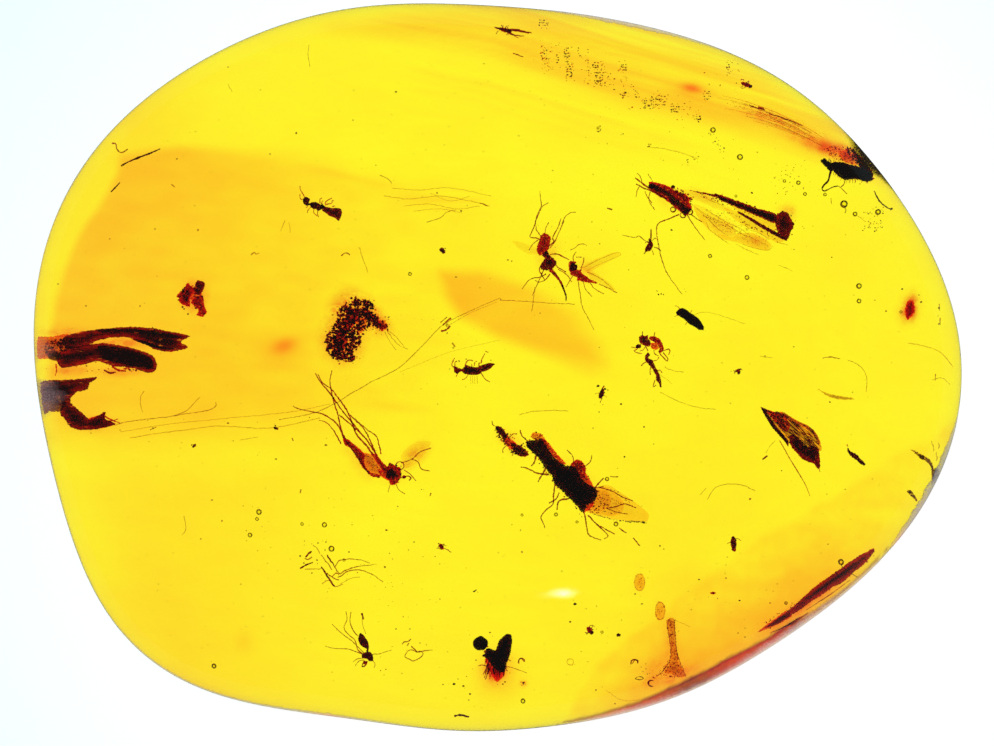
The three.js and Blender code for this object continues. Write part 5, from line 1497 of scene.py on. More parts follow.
pillow(p, [(88, 419), (99, 415), (105.5, 412), (105, 419), (116, 424), (103, 428), (91, 429)], Z + 0.2, plant_red, step=0.9, rough=0.8, seed=68, fat=0.6)
pillow(p, [(42, 388), (50, 385), (60, 386), (58, 394), (50, 400), (44, 402)], Z + 0.3, greyish, step=1.0, rough=0.8, seed=69, fat=0.25)
for q in [[(46, 384), (60, 383), (78, 381), (92, 379)], [(50, 392), (58, 402), (68, 414), (80, 424)], [(60, 390), (66, 398)], [(104, 416), (112, 420), (120, 423)]]:
    tube(p, q, (0.5, 0.8, 0.4), Z + 0.35, plant_red, 0.6, kink=0.6)
tube(p, [(105, 420), (111, 421), (118, 419)], 0.5, Z, leg_red)
p.make()

# ---------------------------------------------------------------------------
# Bug and crack at the upper right rim
# ---------------------------------------------------------------------------
p = Pile("rim_bug")
Z = 3.9
pillow(p, [(820.5, 161), (824, 158), (826, 159), (828, 161), (831, 162.5), (837, 163), (843.5, 164), (851, 167), (858, 168), (864, 169), (869, 171), (872.5, 175), (872.5, 178), (870, 180.5), (866, 181.5), (863, 180.5), (857, 178), (853, 177), (848, 180), (845, 180), (841, 178), (837, 175), (833, 171), (831, 172), (827, 169), (824, 165)], Z, black, step=0.8, rough=0.7, seed=70, floor=0.7)
for q, r in [([(831, 171), (830, 174), (828, 181), (824, 185), (822, 189), (824, 191), (827, 190), (833, 187), (838, 186)], (1.0, 0.7, 0.5)), ([(838, 186), (841, 188), (847, 194)], 0.4), ([(845, 179), (844, 184), (841, 187)], 0.5), ([(856, 178), (855, 183)], 0.5)]:
    tube(p, q, r, Z, chitin if q[0] == (831, 171) else legs, 0.95)
scatter(p, [(868, 173), (873, 174), (875, 178), (871, 182), (867, 182)], 34, (0.5, 1.1), Z + 0.2, [ruddy, maroon, leg_red])
for x0 in np.arange(834, 869, 1.9):
    y0 = float(np.interp(x0, [834, 842, 850, 857, 868], [173, 178, 179.5, 178, 181.5]))
    tube(p, [(x0, y0 - 1), (x0 - 0.8 + RNG.normal(0, 0.5), y0 + RNG.uniform(1.6, 4.6))], (0.45, 0.15), Z - 0.05, [legs, leg_red][RNG.randint(2)], 0.8)
for x0 in np.arange(826, 868, 2.6):
    y0 = float(np.interp(x0, [826, 843, 858, 868], [159.5, 164, 168, 171]))
    tube(p, [(x0, y0 + 1), (x0 + RNG.normal(0, 0.7), y0 - RNG.uniform(0.8, 2.4))], (0.5, 0.15), Z, [chitin, maroon][RNG.randint(2)], 0.8)
p.make()
p = Pile("rim_bug_back")
pillow(p, [(834, 162), (843, 162.5), (852, 165), (862, 167), (869, 170), (873, 175.5), (871.5, 180.5), (864, 181.5), (856, 179), (848, 179.5), (842, 177), (838, 171)], 4.3, black, step=0.8, rough=0.8, seed=170, fat=0.6, floor=0.4)
p.make()
p = Pile("rim_crack")
Z = 4.1
halo(p, (832, 149), (20, 8), Z - 0.1, stain_red, turn=0.3, power=0.35)
halo(p, (845, 154), (12, 8), Z - 0.12, stain_red, turn=0.7, power=0.5)
halo(p, (815, 142), (34, 12), Z - 0.3, stain_orange, turn=0.4, power=0.9)
halo(p, (770, 118), (34, 8), Z - 0.3, stain_orange, turn=0.3, power=0.9)
crack_glow = remains("crack glow", (0.6, 0.12, 0.03), (0.5, 0.07, 0.02), (0.99, 0.72, 0.40), (0.97, 0.52, 0.24), 0.0, 0.18, 0.6, scale=9000, vary=1.6, grain_dir=-0.5, grain_len=4.0)
halo(p, (830, 149), (18, 6.5), Z - 0.05, stain_orange, turn=0.25, power=1.0, soft=1.3)
halo(p, (846, 153), (13, 7), Z - 0.06, stain_red, turn=0.6, power=0.7, soft=1.3)
pillow(p, [(838, 152), (846, 150), (854, 156), (860, 165), (850, 164), (843, 160)], Z + 0.1, crack_glow, step=0.8, rough=1.4, seed=72, fat=0.4)
pillow(p, [(850, 148), (856, 152), (861, 157), (867, 164), (872, 171), (874, 176), (869, 173), (863, 168.5), (858, 162), (853, 155)], Z + 0.15, maroon, step=0.8, rough=1.3, seed=73, fat=0.5)
scatter(p, [(820, 148), (832, 146), (848, 146), (858, 156), (866, 166), (850, 165), (836, 160)], 150, (0.35, 0.9), Z + 0.1, [ruddy, orange, leg_red, ruddy, maroon])
scatter(p, [(845, 147), (853, 148), (860, 156), (868, 165), (873, 175), (864, 170), (856, 164), (849, 155)], 190, (0.4, 1.0), Z + 0.2, [black, olive, chitin, ruddy])
scatter(p, [(856, 154), (863, 160), (869, 167), (873, 174), (866, 171), (859, 165)], 90, (0.6, 1.1), Z + 0.25, [black, olive, chitin])
for k in range(11):
    o = -9 + 1.9 * k + RNG.uniform(-0.8, 0.8)
    x0, x1 = RNG.uniform(716, 768), RNG.uniform(790, 836)
    lie = [(x, 118 + 0.36 * (x - 770) + 0.0022 * (x - 770) ** 2 + o * (1 - 0.45 * (x - 730) / 100)) for x in np.linspace(x0, x1, 6)]
    tube(p, lie, (0.12, 0.3, 0.2), Z - 0.2, [orange, faint, legs][k % 3], 0.7, kink=0.4)
for a_, b_ in [(728, 752), (742, 790), (758, 810), (768, 800)]:
    lie = [(x, 116 + 0.36 * (x - 770) + 0.0022 * (x - 770) ** 2 + RNG.normal(0, 2.4)) for x in np.linspace(a_, b_, 14)]
    dots(p, lie, 0.4, Z - 0.15, [orange, legs][a_ % 2], 1.3, 1.2)
p.make()

# ---------------------------------------------------------------------------
# Red oval at the right
# ---------------------------------------------------------------------------
p = Pile("red_oval")
Z = 3.9
halo(p, (910, 309), (6.6, 12.0), Z - 0.3, stain_red, turn=0.25, power=1.3, soft=1.4)
halo(p, (910, 309), (10.5, 16), Z - 0.35, stain_red, turn=0.25, power=0.35, soft=1.8)
pillow(p, [(914, 299.5), (912, 302), (913, 305.5), (914, 309), (915, 312.5), (912, 313.5), (910, 315), (909, 318), (908, 320), (907, 319.5), (906, 316), (906, 311), (907, 305.5), (909, 303), (911.5, 301)], Z, ruddy, step=0.7, rough=0.6, seed=74, floor=0.5)
pillow(p, [(909.5, 300), (912, 300), (914.5, 304), (914.5, 311), (911, 317), (908, 320), (905.5, 316), (905, 309), (906.5, 303)], Z - 0.1, ruddy, step=0.8, rough=0.8, seed=75, fat=0.35, lump=0.5)
p.make()

# ---------------------------------------------------------------------------
# Flake, stalk and ovals at the lower right
# ---------------------------------------------------------------------------
p = Pile("rim_flake")
Z = 3.5
flake_mat = remains("rim flake", (0.20, 0.006, 0.008), (0.34, 0.02, 0.014), (0.92, 0.26, 0.09), (0.74, 0.10, 0.06), 0.10, 0.72, 0.45, scale=7000, vary=0.8, grain_dir=math.radians(36), grain_len=7.0, glint=0.35, glint_at=0.62)
strand = remains("rim strand", (0.55, 0.10, 0.03), (0.40, 0.05, 0.02), (0.97, 0.50, 0.18), (0.90, 0.26, 0.08), 0.02, 0.60, 0.60, scale=7000, vary=1.6, grain_dir=math.radians(36), grain_len=9.0)
fl = [(874, 548.5), (868, 551), (861, 554.5), (854, 559), (847, 563.5), (840, 569), (833, 573.5), (826, 579), (819, 583.5), (812, 589), (805, 595.5), (798, 602), (791, 608), (784, 614), (777, 618.5), (770, 623.5), (764, 628), (770, 626.5), (777, 623.5), (784, 619.5), (791, 615.5), (798, 611), (805, 606), (812, 601), (819, 597), (826, 592), (833, 587), (840, 584), (847, 579), (854, 572), (861, 567), (868, 560), (874, 552)]
pillow(p, fl, Z, flake_mat, step=0.85, rough=0.7, seed=76, lump=0.3, fat=0.9, floor=0.4)
pillow(p, [(858, 561), (846, 569), (832, 579), (818, 589), (806, 599), (812, 597), (826, 587), (840, 577), (852, 568)], Z + 0.2, maroon, step=0.9, rough=0.7, seed=176, fat=0.5)
pillow(p, [(786, 611), (776, 618), (766, 625), (757, 632.5), (766, 629.5), (780, 623), (792, 616)], Z - 0.05, strand, step=0.9, rough=0.6, seed=177, fat=0.4, floor=0.3)
for q, r in [([(782, 628.5), (791, 623.5), (798, 619.5), (808, 613)], (0.3, 1.1, 0.3)), ([(788, 626), (808, 616.5), (832, 600), (852, 584)], (0.2, 0.4, 0.2)), ([(806, 610), (828, 596), (850, 580)], (0.2, 0.5, 0.2)), ([(770, 633), (784, 627), (800, 617)], (0.3, 0.6, 0.3))]:
    tube(p, q, r, Z + 0.05, strand, 0.8, kink=0.7)
for i in range(150):
    t, s = RNG.rand(), RNG.normal(0, 1)
    grain(p, 764 + 108 * t + s * 1.4, 627 - 75 * t + 3 * math.sin(math.pi * t) + s * 2.2, RNG.uniform(0.35, 0.8), Z + 0.1, [maroon, ruddy, leg_red][RNG.randint(3)])
# a pale streak painted on the flake as a highlight
tube(p, [(840, 564), (846, 570), (857, 577)], (0.25, 0.5, 0.25), Z + 0.9, pale_film_and_glints, 0.9)
halo(p, (806, 604), (54, 8), Z - 0.3, stain_orange, turn=-0.6, power=0.9)
halo(p, (788, 617), (34, 5), Z - 0.35, stain_red, turn=-0.6, power=0.35)
p.make()
p = Pile("stalk")
Z = 3.9
brown = remains("stalk brown", (0.62, 0.24, 0.05), (0.45, 0.13, 0.03), (0.985, 0.80, 0.55), (0.93, 0.62, 0.30), 0.02, 0.20, 0.5, scale=7000, vary=1.2)
peach = remains("pod skin", (0.75, 0.34, 0.10), (0.60, 0.20, 0.05), (0.995, 0.86, 0.66), (0.98, 0.76, 0.50), 0.0, 0.10, 0.5, scale=7000, vary=1.2)
pillow(p, [(671, 617.5), (674.5, 620), (675, 632), (676, 647), (679, 662), (686, 676), (677, 677), (671, 674), (664, 672), (669, 664), (671, 656), (671, 647), (668, 632), (666.5, 621)], Z, brown, step=0.9, rough=0.8, seed=77, lump=0.4)
for q in [[(667, 620), (668.3, 634), (671, 648), (670, 660), (663, 671), (657, 676)], [(674.6, 620), (675, 634), (676.2, 648), (679, 660), (683, 669), (686, 676)]]:
    dots(p, q, 0.5, Z + 0.15, leg_red, 1.1, 0.35)
    tube(p, q, (0.3, 0.4, 0.3), Z + 0.1, legs, 0.5, kink=1.0)
scatter(p, [(667.5, 620), (671, 617), (674, 620), (675.5, 646), (671, 648), (669, 634)], 70, (0.35, 0.75), Z + 0.15, [brown, ruddy, leg_red])
scatter(p, [(671, 648), (676, 648), (679, 662), (686, 677), (676, 678), (660, 676), (650, 680), (662, 668), (670, 658)], 150, (0.35, 0.8), Z + 0.15, [brown, ruddy, leg_red, orange])
tube(p, [(675, 619), (679, 622), (690, 627)], (0.35, 0.25), Z, hair, 0.6, kink=0.6)
halo(p, (670, 640), (9, 26), Z - 0.4, stain_orange, power=0.5)
halo(p, (672, 676), (34, 9), Z - 0.4, stain_orange, turn=-0.28, power=0.9)
halo(p, (655, 668), (20, 12), Z - 0.45, stain_orange, turn=-0.3, power=0.5)
p.make()
p = Pile("oval_pods")
Z = 4.3
for c, r in [((639.6, 582.3), (5.2, 8.5)), ((660.2, 611), (4.8, 8.8))]:
    ball(p, c, r, Z, peach, lump=0.05, thick=0.3, n=20)
    for i in range(30):
        a = 2 * math.pi * i / 30
        grain(p, c[0] + r[0] * math.cos(a), c[1] + r[1] * math.sin(a), RNG.uniform(0.4, 0.75), Z, [brown, ruddy][RNG.randint(2)], 0.7)
    for i in range(16):
        grain(p, c[0] + r[0] * RNG.uniform(-0.6, 0.6), c[1] + r[1] * RNG.uniform(-0.6, 0.6), 0.45, Z + 0.2, ruddy, 0.6)
    halo(p, c, (r[0] * 1.3, r[1] * 1.2), Z - 0.3, stain_orange, power=0.3)
p.make()

# ---------------------------------------------------------------------------
# Legs of a spider
# ---------------------------------------------------------------------------
p = Pile("spider_legs")
Z = 5.1
for q, r in [([(321, 567.5), (324, 570), (328, 577), (331, 582.5), (335, 587), (343, 584)], (0.6, 0.7, 0.3)), ([(327, 573), (330, 575.5), (332, 577), (337, 580), (339, 580)], 0.7), ([(321, 555), (325, 560), (329, 565), (332, 570)], 0.5), ([(327, 556), (331, 561), (335, 567), (337, 571), (340, 574), (344, 571), (349, 569), (354, 567.5), (360, 566), (370, 565), (377, 564)], (0.45, 0.6, 0.25)), ([(338, 577), (342, 575.5), (346, 572), (352.5, 570), (359, 570), (366.5, 572), (374, 575.5), (383, 582)], (0.6, 0.5, 0.3)), ([(335, 567), (339, 560.5), (341, 560), (351, 559), (360, 560), (370, 563)], (0.5, 0.45, 0.3)), ([(312, 551), (310, 553.5)], 0.5), ([(305, 558), (308, 559.5), (312, 557)], 0.5), ([(300, 568), (306, 565), (311, 563), (313, 562)], 0.5), ([(305, 569), (321, 569)], 0.4), ([(332, 577), (336, 573), (339, 575)], 0.6), ([(313, 545), (317, 549), (320, 554)], 0.35), ([(322, 584), (326, 581), (330, 580)], 0.35), ([(340, 584), (352, 578), (360, 577)], 0.25)]:
    tube(p, q, r, Z, legs, 0.7, kink=0.5)
for c in [(304, 563), (317, 560), (312, 573), (325, 550), (300, 556), (318, 543), (326, 542)]:
    grain(p, c[0], c[1], 0.8, Z, chitin)
p.make()

# ---------------------------------------------------------------------------
# Other bugs
# ---------------------------------------------------------------------------
p = Pile("small_bugs")
def bug(c, rx, ry, turn, z, mats=(chitin, maroon), n_legs=4, crumbs=8):
    ca, sa = math.cos(turn), math.sin(turn)
    def at(u, w):
        return (c[0] + u * ca - w * sa, c[1] + u * sa + w * ca)
    out = [at(rx * math.cos(a) * (1 + 0.10 * math.sin(3 * a + c[0])), ry * math.sin(a)) for a in np.arange(14) * 2 * math.pi / 14]
    pillow(p, out, z, mats[0], step=0.6, rough=0.6, seed=c[0], floor=0.5)
    ball(p, at(rx * 0.95, 0), ry * 0.75, z, mats[-1], lump=0.25, seed=c[1], thick=0.8)
    for i in range(n_legs):
        u = rx * RNG.uniform(-0.6, 0.7)
        s = 1 if i % 2 else -1
        tube(p, [at(u, 0), at(u + RNG.uniform(-1, 1), s * ry * 1.5), at(u + RNG.uniform(-3, 3), s * ry * RNG.uniform(1.8, 2.6))], (0.5, 0.3), z, legs, 0.85)
    for _ in range(crumbs):
        q = at(RNG.normal(0, rx * 0.6), RNG.normal(0, ry * 0.9))
        grain(p, q[0], q[1], RNG.uniform(0.4, 0.9), z + RNG.uniform(-0.1, 0.15), mats[RNG.randint(len(mats))])
bug((442, 250), 2.8, 2.3, 0.9, 5.4, n_legs=0)
bug((733.5, 543), 6.6, 3.0, 1.5, 4.4, n_legs=2, crumbs=5)
bug((602, 393), 4.0, 2.6, 1.9, 5.4, n_legs=2)
bug((738, 371), 2.2, 1.8, 1.2, 5.6, (maroon, chitin))
bug((746, 84.5), 5.2, 2.2, 0.35, 4.0, (maroon, chitin))
bug((441, 546), 2.8, 2.0, 0.9, 5.0, (maroon, ruddy))
bug((589.5, 630), 3.6, 2.6, 0.9, 4.8, (maroon, chitin))
bug((194.5, 445.5), 2.0, 1.3, 2.4, 4.8, n_legs=0, crumbs=2)
bug((275.5, 428), 2.2, 1.3, 0.4, 5.2, n_legs=0, crumbs=4)
bug((505, 30), 5.5, 2.2, 0.25, 3.9, (maroon, chitin))
for q, r in [([(494, 27), (500, 28.5), (507, 30)], (0.5, 0.9)), ([(508, 30), (518, 30), (532, 33)], (1.2, 0.5)), ([(506, 31), (514, 35), (524, 36)], (1.0, 0.4)), ([(498, 31), (496, 34)], 0.5), ([(503, 28), (501, 25)], 0.4), ([(495, 27.5), (503, 29.5), (512, 31)], (0.8, 1.5, 0.9)), ([(512, 30.5), (521, 31.5), (529, 33.5)], (1.0, 0.9, 0.4)), ([(510, 32), (515, 36.5), (519, 38)], (0.6, 0.3)),
             ([(444, 548), (448, 550), (451, 552.5)], 0.5), ([(513, 53), (518, 55), (523, 57)], 0.6), ([(749, 105), (757, 108), (765, 110)], 0.7), ([(769, 113.5), (786, 119), (803, 126)], (0.4, 0.7, 0.4)), ([(758, 107), (761, 108.2), (764, 108.5)], 1.0), ([(362, 613), (363, 620)], 0.9), ([(599, 396), (601, 391), (604, 386)], 0.8), ([(602, 398), (600, 403)], 0.4)]:
    tube(p, q, r, 4.6, leg_red, 0.9, kink=0.5)
tube(p, [(631, 664.5), (631.3, 660.8), (634.5, 659.6), (638, 660.8), (637.4, 663.4)], (0.5, 0.8, 0.5), 4.5, maroon, 0.9)
tube(p, [(653.5, 680.4), (649.8, 680.6), (648.2, 683), (649.8, 685.8), (653.2, 686.4)], (0.5, 0.9, 0.5), 4.2, maroon, 0.9)
tube(p, [(635, 678.8), (638, 676.8), (642, 677), (643.6, 678.4), (640, 679.8), (635.6, 679.2)], 0.4, 4.3, olive, 0.8)
for x, y in [(646, 669), (643, 671.5), (647.5, 674), (641, 667), (646, 664)]:
    grain(p, x, y, 0.55, 4.3, olive)
halo(p, (523.4, 683.6), (4.5, 4), 4.4, stain_orange, power=0.8)
scatter(p, [(521, 682), (525, 681.5), (526, 685), (522, 686)], 9, (0.4, 0.8), 4.4, [legs, orange])
tube(p, [(848, 448), (848.6, 451), (851.5, 454), (856, 457), (860, 461), (865, 465)], (0.6, 2.3, 2.4, 1.1), 4.3, chitin, 0.85)
tube(p, [(848, 447), (847, 444)], 0.4, 4.3, legs)
pillow(p, [(709.8, 593), (713, 591.6), (716.4, 593), (713, 594.6)], 4.4, maroon, step=0.5, seed=80)
for c, r in [((618.5, 635), 1.8), ((575, 604), 1.3), ((598, 386), 1.2), ((605, 389), 1.1), ((600, 397), 1.2)]:
    ball(p, c, r, 4.4, chitin if r < 2 else brown, lump=0.3, thick=0.8)
p.make()

# ---------------------------------------------------------------------------
# Hairs, fibres and faint lines
# ---------------------------------------------------------------------------
p = Pile("hairs")
HAIRS = [([(519.0, 663.4), (518.6, 660.6), (520, 658.5), (522.5, 658.3), (524.3, 660), (524, 662)], 0.8, 4.6, legs), ([(573.6, 662), (572.6, 664.6), (570.2, 665.3), (567.8, 664.4), (567, 662), (567.8, 659.6), (570.3, 658.7), (572.8, 659.6), (573.6, 662)], 0.5, 4.4, faint),
    
    ([(121, 166), (128, 162), (135, 159), (148, 154), (160, 149)], (0.7, 1.0, 0.5), 3.9, chitin), ([(111, 192), (120, 182.5)], (0.7, 0.5), 3.8, chitin),
    ([(112, 143), (116, 144), (117, 150), (122, 152.5), (128, 149)], (0.8, 0.6), 3.8, legs), ([(171.5, 184), (175, 187)], 0.5, 4.4, legs),
    ([(309, 45), (308, 55), (310, 67)], 0.3, 4.2, hair), ([(359, 247), (363, 259), (368, 273)], 0.35, 5.6, hair), ([(427, 222), (440, 218), (447, 212), (456, 210)], 0.4, 5.9, hair),
    ([(341, 256), (344, 253.5), (347, 253), (350, 255)], 0.6, 5.7, legs), ([(251, 255), (254, 252.5), (256, 254.5), (259, 253)], 0.5, 5.4, legs),
    ([(281, 231), (283, 225), (285, 220)], 0.3, 5.3, hair), ([(289, 222), (290, 227), (290, 233)], 0.25, 5.3, hair),
    ([(144, 391), (140.5, 397), (140.5, 405), (143, 412)], 0.35, 4.3, hair),
    ([(115, 425), (126, 422), (148, 419), (167, 417), (184.5, 414), (205, 411), (215, 407), (216, 402)], 0.45, 3.9, hair),
    ([(173, 416), (186, 411), (196, 401), (200, 397)], 0.4, 4.0, hair),
    ([(130, 438), (160, 433), (186, 430), (219, 426), (270, 428), (320, 418)], 0.4, 4.2, faint), ([(120, 432), (170, 424), (230, 418), (290, 412), (330, 404)], 0.3, 3.7, faint),
    ([(184, 516), (186, 529), (182, 535)], 0.35, 4.6, hair), ([(874, 191), (877, 197), (880, 201.5), (885, 206), (890, 209)], (0.5, 0.8, 0.5), 3.7, olive), ([(890, 209.5), (892.5, 208.5)], 1.1, 3.7, chitin), ([(843, 206), (846, 210), (845, 213)], (0.5, 0.35), 3.8, olive), ([(831, 198), (831.5, 204)], 0.4, 3.8, hair),
    ([(823, 358), (831, 357), (840, 358.5)], (0.3, 0.6, 0.3), 4.2, legs), ([(848, 360), (857, 364), (864, 371), (867, 380), (866, 392)], 0.35, 4.2, hair), ([(939, 304), (939.5, 311)], (0.5, 0.3), 3.5, legs), ([(940, 318), (940.5, 325)], (0.5, 0.3), 3.5, legs), ([(935.5, 374), (935, 381)], (0.5, 0.3), 3.5, legs),
    ([(908, 343), (924, 346), (940, 352), (953, 367)], 0.4, 3.5, faint),
    ([(707, 500), (714, 489), (722, 485), (733, 484), (745, 486), (755, 491)], 0.4, 4.8, hair), ([(700, 495), (706, 488)], 0.3, 4.8, hair),
    ([(647, 147), (665, 149), (682, 153), (698, 159)], 0.35, 5.2, faint), ([(519, 415), (530, 412), (541, 411), (555, 410.5), (568, 411)], 0.35, 5.4, hair),
    ([(660, 392), (680, 402), (700, 408), (716, 409)], 0.3, 5.4, hair), ([(690, 316), (705, 312), (722, 316), (745, 324)], 0.22, 5.6, hair),
    ([(392, 188), (420, 190), (450, 188), (491, 196)], 0.3, 6.4, faint), ([(384, 196), (410, 199), (440, 196), (470, 201), (490, 206)], 0.35, 6.4, faint), ([(404, 206), (430, 204), (455, 209), (480, 206)], 0.3, 6.4, faint), ([(414, 211), (440, 209), (462, 213)], 0.25, 6.4, faint), ([(380, 175), (388, 179), (392, 184)], 0.4, 6.3, hair), ([(430, 193), (450, 201), (470, 196)], 0.25, 6.4, faint),
    ([(386, 328), (392, 338), (400, 346), (408, 349)], (0.5, 0.3), 4.3, hair), ([(388, 330), (397, 338), (404, 347)], 0.3, 4.3, hair), ([(384, 331), (390, 342), (396, 350)], 0.25, 4.3, hair),
    ([(443, 325), (447, 321), (451, 318)], 0.9, 5.6, legs), ([(441, 331), (446, 330), (450, 326)], 1.0, 5.6, legs), ([(447, 317), (440, 323)], 0.5, 5.6, legs), ([(452, 343), (455, 347)], 0.9, 5.4, hair),
    ([(150, 430), (156.5, 427)], 0.5, 4.2, hair), ([(480, 203), (488, 206)], 0.5, 5.6, legs), ([(607, 208), (612, 210)], 0.7, 5.3, legs), ([(292, 438), (293, 441)], 0.7, 5.0, legs), ([(301, 489), (300, 493)], 0.6, 5.0, legs), ([(431, 493), (430, 496)], 0.6, 5.0, legs),
    ([(405, 655), (408, 651), (412, 650), (417, 652), (420, 651), (423, 654), (421, 657), (417, 659.5), (413, 661), (409, 659), (405, 657), (405, 655)], 0.5, 4.7, legs), ([(411.5, 646), (415, 650), (418, 652), (423, 651), (433, 650)], (0.8, 0.3), 4.7, legs), ([(402, 644.5), (404, 642), (408, 641.5), (411, 639)], 0.6, 4.7, legs), ([(407, 646), (409, 643)], 0.6, 4.7, legs),
    ([(632, 664), (635, 660), (638, 662)], 0.5, 4.2, legs), ([(454, 716), (461, 715), (469, 717)], 1.0, 3.5, chitin), ([(932, 380), (942, 378), (950, 384)], 0.3, 3.4, hair),
    ([(775, 441), (770, 446), (766, 453)], 0.25, 4.6, hair), ([(650, 371), (662, 376), (672, 384)], 0.2, 4.8, hair), ([(664, 367), (674, 371), (684, 372)], 0.25, 4.8, hair), ([(232, 92), (228, 84)], 0.3, 4.2, hair),
    ([(500, 340), (450, 352), (400, 372)], 0.18, 3.6, faint),
    ([(240, 440), (258, 437)], 0.25, 4.6, hair), ([(855, 214), (866, 222)], 0.25, 3.8, hair), ([(760, 356), (772, 358)], 0.3, 5.0, hair), ([(606, 690), (622, 700), (640, 700)], 0.25, 3.8, faint),
]
for q, r, z, m in HAIRS:
    tube(p, q, r, z, m, 0.75, kink=0.5)
p.make()

# ---------------------------------------------------------------------------
# Specks
# ---------------------------------------------------------------------------
p = Pile("specks")
SPECKS = [(228, 67), (353, 120), (296, 133), (396, 92), (198, 230), (270, 154), (437, 193), (461, 211), (456, 277), (228, 423), (120, 430), (91, 433), (153, 428), (212, 500), (201, 539), (222, 521), (414, 542), (475, 591), (454, 684), (464, 686), (635, 594), (699, 579.5), (726, 578), (770, 603), (739.5, 600.5), (792, 603), (745, 628), (738, 633), (745, 637), (596, 690), (615, 703.5), (570, 622), (642, 604), (750, 499), (660, 546), (828, 544), (765, 356), (724, 148), (519, 136), (623, 134), (886, 311), (939, 308), (938, 316), (939, 324), (919, 295), (921, 302), (902, 289), (447, 333), (386, 4.6), (624.5, 457), (644, 427), (599, 412), (621, 404), (593, 428), (522, 552), (592, 222), (508, 260), (511.6, 261), (671.5, 230), (720, 215.5), (752, 193), (155, 229), (58, 284), (140, 306), (86, 306), (188, 314), (177, 159), (349, 552), (386.6, 530), (385, 567), (304.5, 541), (276, 459), (326, 445), (830, 402)]
for x, y in SPECKS:
    grain(p, x, y, RNG.uniform(0.65, 1.1), RNG.uniform(2.6, 3.4), [chitin, chitin, legs][RNG.randint(3)])
def dust(n, x0, x1, y0, y1, r0=0.3, r1=0.65, mats=(legs, hair, hair), slope=0.0):
    for _ in range(n):
        x = RNG.uniform(x0, x1)
        y = RNG.uniform(y0, y1) + (x - x0) * slope
        if find_angle(np.array([(x - PX0) * PXMM]), np.array([-(y - PY0) * PXMM]))[1][0] < 0.95:
            grain(p, x, y, RNG.uniform(r0, r1), RNG.uniform(1.5, 3.4), mats[RNG.randint(len(mats))], 0.7)
dust(420, 40, 955, 12, 725, 0.22, 0.42, (hair,))
dust(60, 240, 400, 505, 600)
dust(34, 700, 900, 120, 230)
dust(50, 560, 800, 570, 690)
dust(26, 380, 540, 590, 700)
dust(22, 620, 700, 90, 110, 0.4, 0.8, (ruddy, legs))
dust(16, 700, 760, 60, 90, 0.4, 0.8, (ruddy, legs))
dust(40, 540, 560, 40, 70, 0.3, 0.6, (brown, hair))
for x0, x1, y0, y1, k in [(563, 572, 47, 81, 46), (592, 607, 60, 87, 52), (540, 552, 46, 74, 30), (617, 626, 60, 98, 34), (580, 588, 52, 84, 26), (648, 662, 95, 109, 30), (672, 702, 104, 120, 26), (726, 740, 60, 74, 14)]:
    for _ in range(k):
        y = RNG.uniform(y0, y1)
        x = RNG.uniform(x0, x1) + (y - y0) * 0.08
        grain(p, x, y, RNG.uniform(0.3, 0.75), RNG.uniform(3.2, 4.2), [brown, ruddy, hair, hair][RNG.randint(4)], 0.6)
pillow(p, [(910, 449.3), (914, 450.3), (919, 453), (924, 455.5), (929, 459), (932.5, 464), (934.3, 471), (934, 478), (932, 485), (931.6, 477), (931.6, 470), (929.4, 464.6), (925, 460.5), (920, 458.5), (916, 454)], 3.7, olive, step=0.7, rough=0.8, seed=90, fat=0.3, floor=0.35)
pillow(p, [(934, 468), (939, 470), (938, 477), (934, 483), (933, 476)], 3.75, pale_film_and_glints, step=0.7, rough=0.8, seed=92, fat=0.2, floor=0.5)
pillow(p, [(906.5, 491.5), (911, 490), (913, 493), (916.5, 498), (917, 501.5), (913.5, 498.5), (910.5, 495.5)], 3.6, olive, step=0.7, rough=0.8, seed=91, fat=0.3, floor=0.35)
pillow(p, [(817, 388.5), (828, 393.5), (838, 395.5), (850, 397.5), (855, 399), (846, 400), (836, 399), (828, 396.5)], 4.2, hair, step=0.7, rough=0.7, seed=93, fat=0.3)
for q in [[(938, 443), (939.5, 446), (938, 449)], [(936, 452), (937, 457), (936, 461)], [(931.5, 441), (933, 446), (934, 451)], [(929, 463), (934, 472), (934, 484)]]:
    tube(p, q, (0.3, 0.5, 0.25), 3.6, hair, 0.8, kink=0.8)
p.make()
p = Pile("speckle_bands")
for x0, y0, x1, y1, n, m in [(537, 20, 548, 28, 26, 0), (540, 48, 547, 60, 18, 0), (563, 46, 568.5, 77, 42, 1), (592, 60, 598, 84, 46, 1), (598, 70, 604, 87, 18, 0), (577, 48, 580, 56, 6, 0), (555, 52, 559, 68, 10, 0), (620, 62, 626, 70, 12, 1), (620, 90, 626, 98, 14, 0), (642, 98, 652, 109, 26, 1), (650, 94, 666, 106, 40, 0),
                             (670, 104, 680, 113, 26, 1), (694, 114, 700, 122, 14, 1), (703, 91, 710, 102, 20, 0), (725, 62, 729, 76, 12, 0), (596, 126, 602, 132, 10, 0), (645, 144, 651, 149, 6, 0), (686, 157, 700, 164, 12, 0), (584, 50, 589, 74, 8, 0), (608, 74, 614, 92, 9, 0), (630, 84, 638, 98, 10, 0)]:
    for _ in range(n):
        x, y = RNG.uniform(x0, x1), RNG.uniform(y0, y1)
        y = y0 + round((y - y0) / 2.6) * 2.6 + RNG.normal(0, 0.35)
        grain(p, x + 0.12 * (y - y0), y, RNG.uniform(0.4, 0.8), 4.6 + RNG.uniform(-0.1, 0.1), [olive, [hair, leg_red][RNG.randint(2)]][0 if RNG.rand() < 0.45 + 0.4 * m else 1], 0.9)
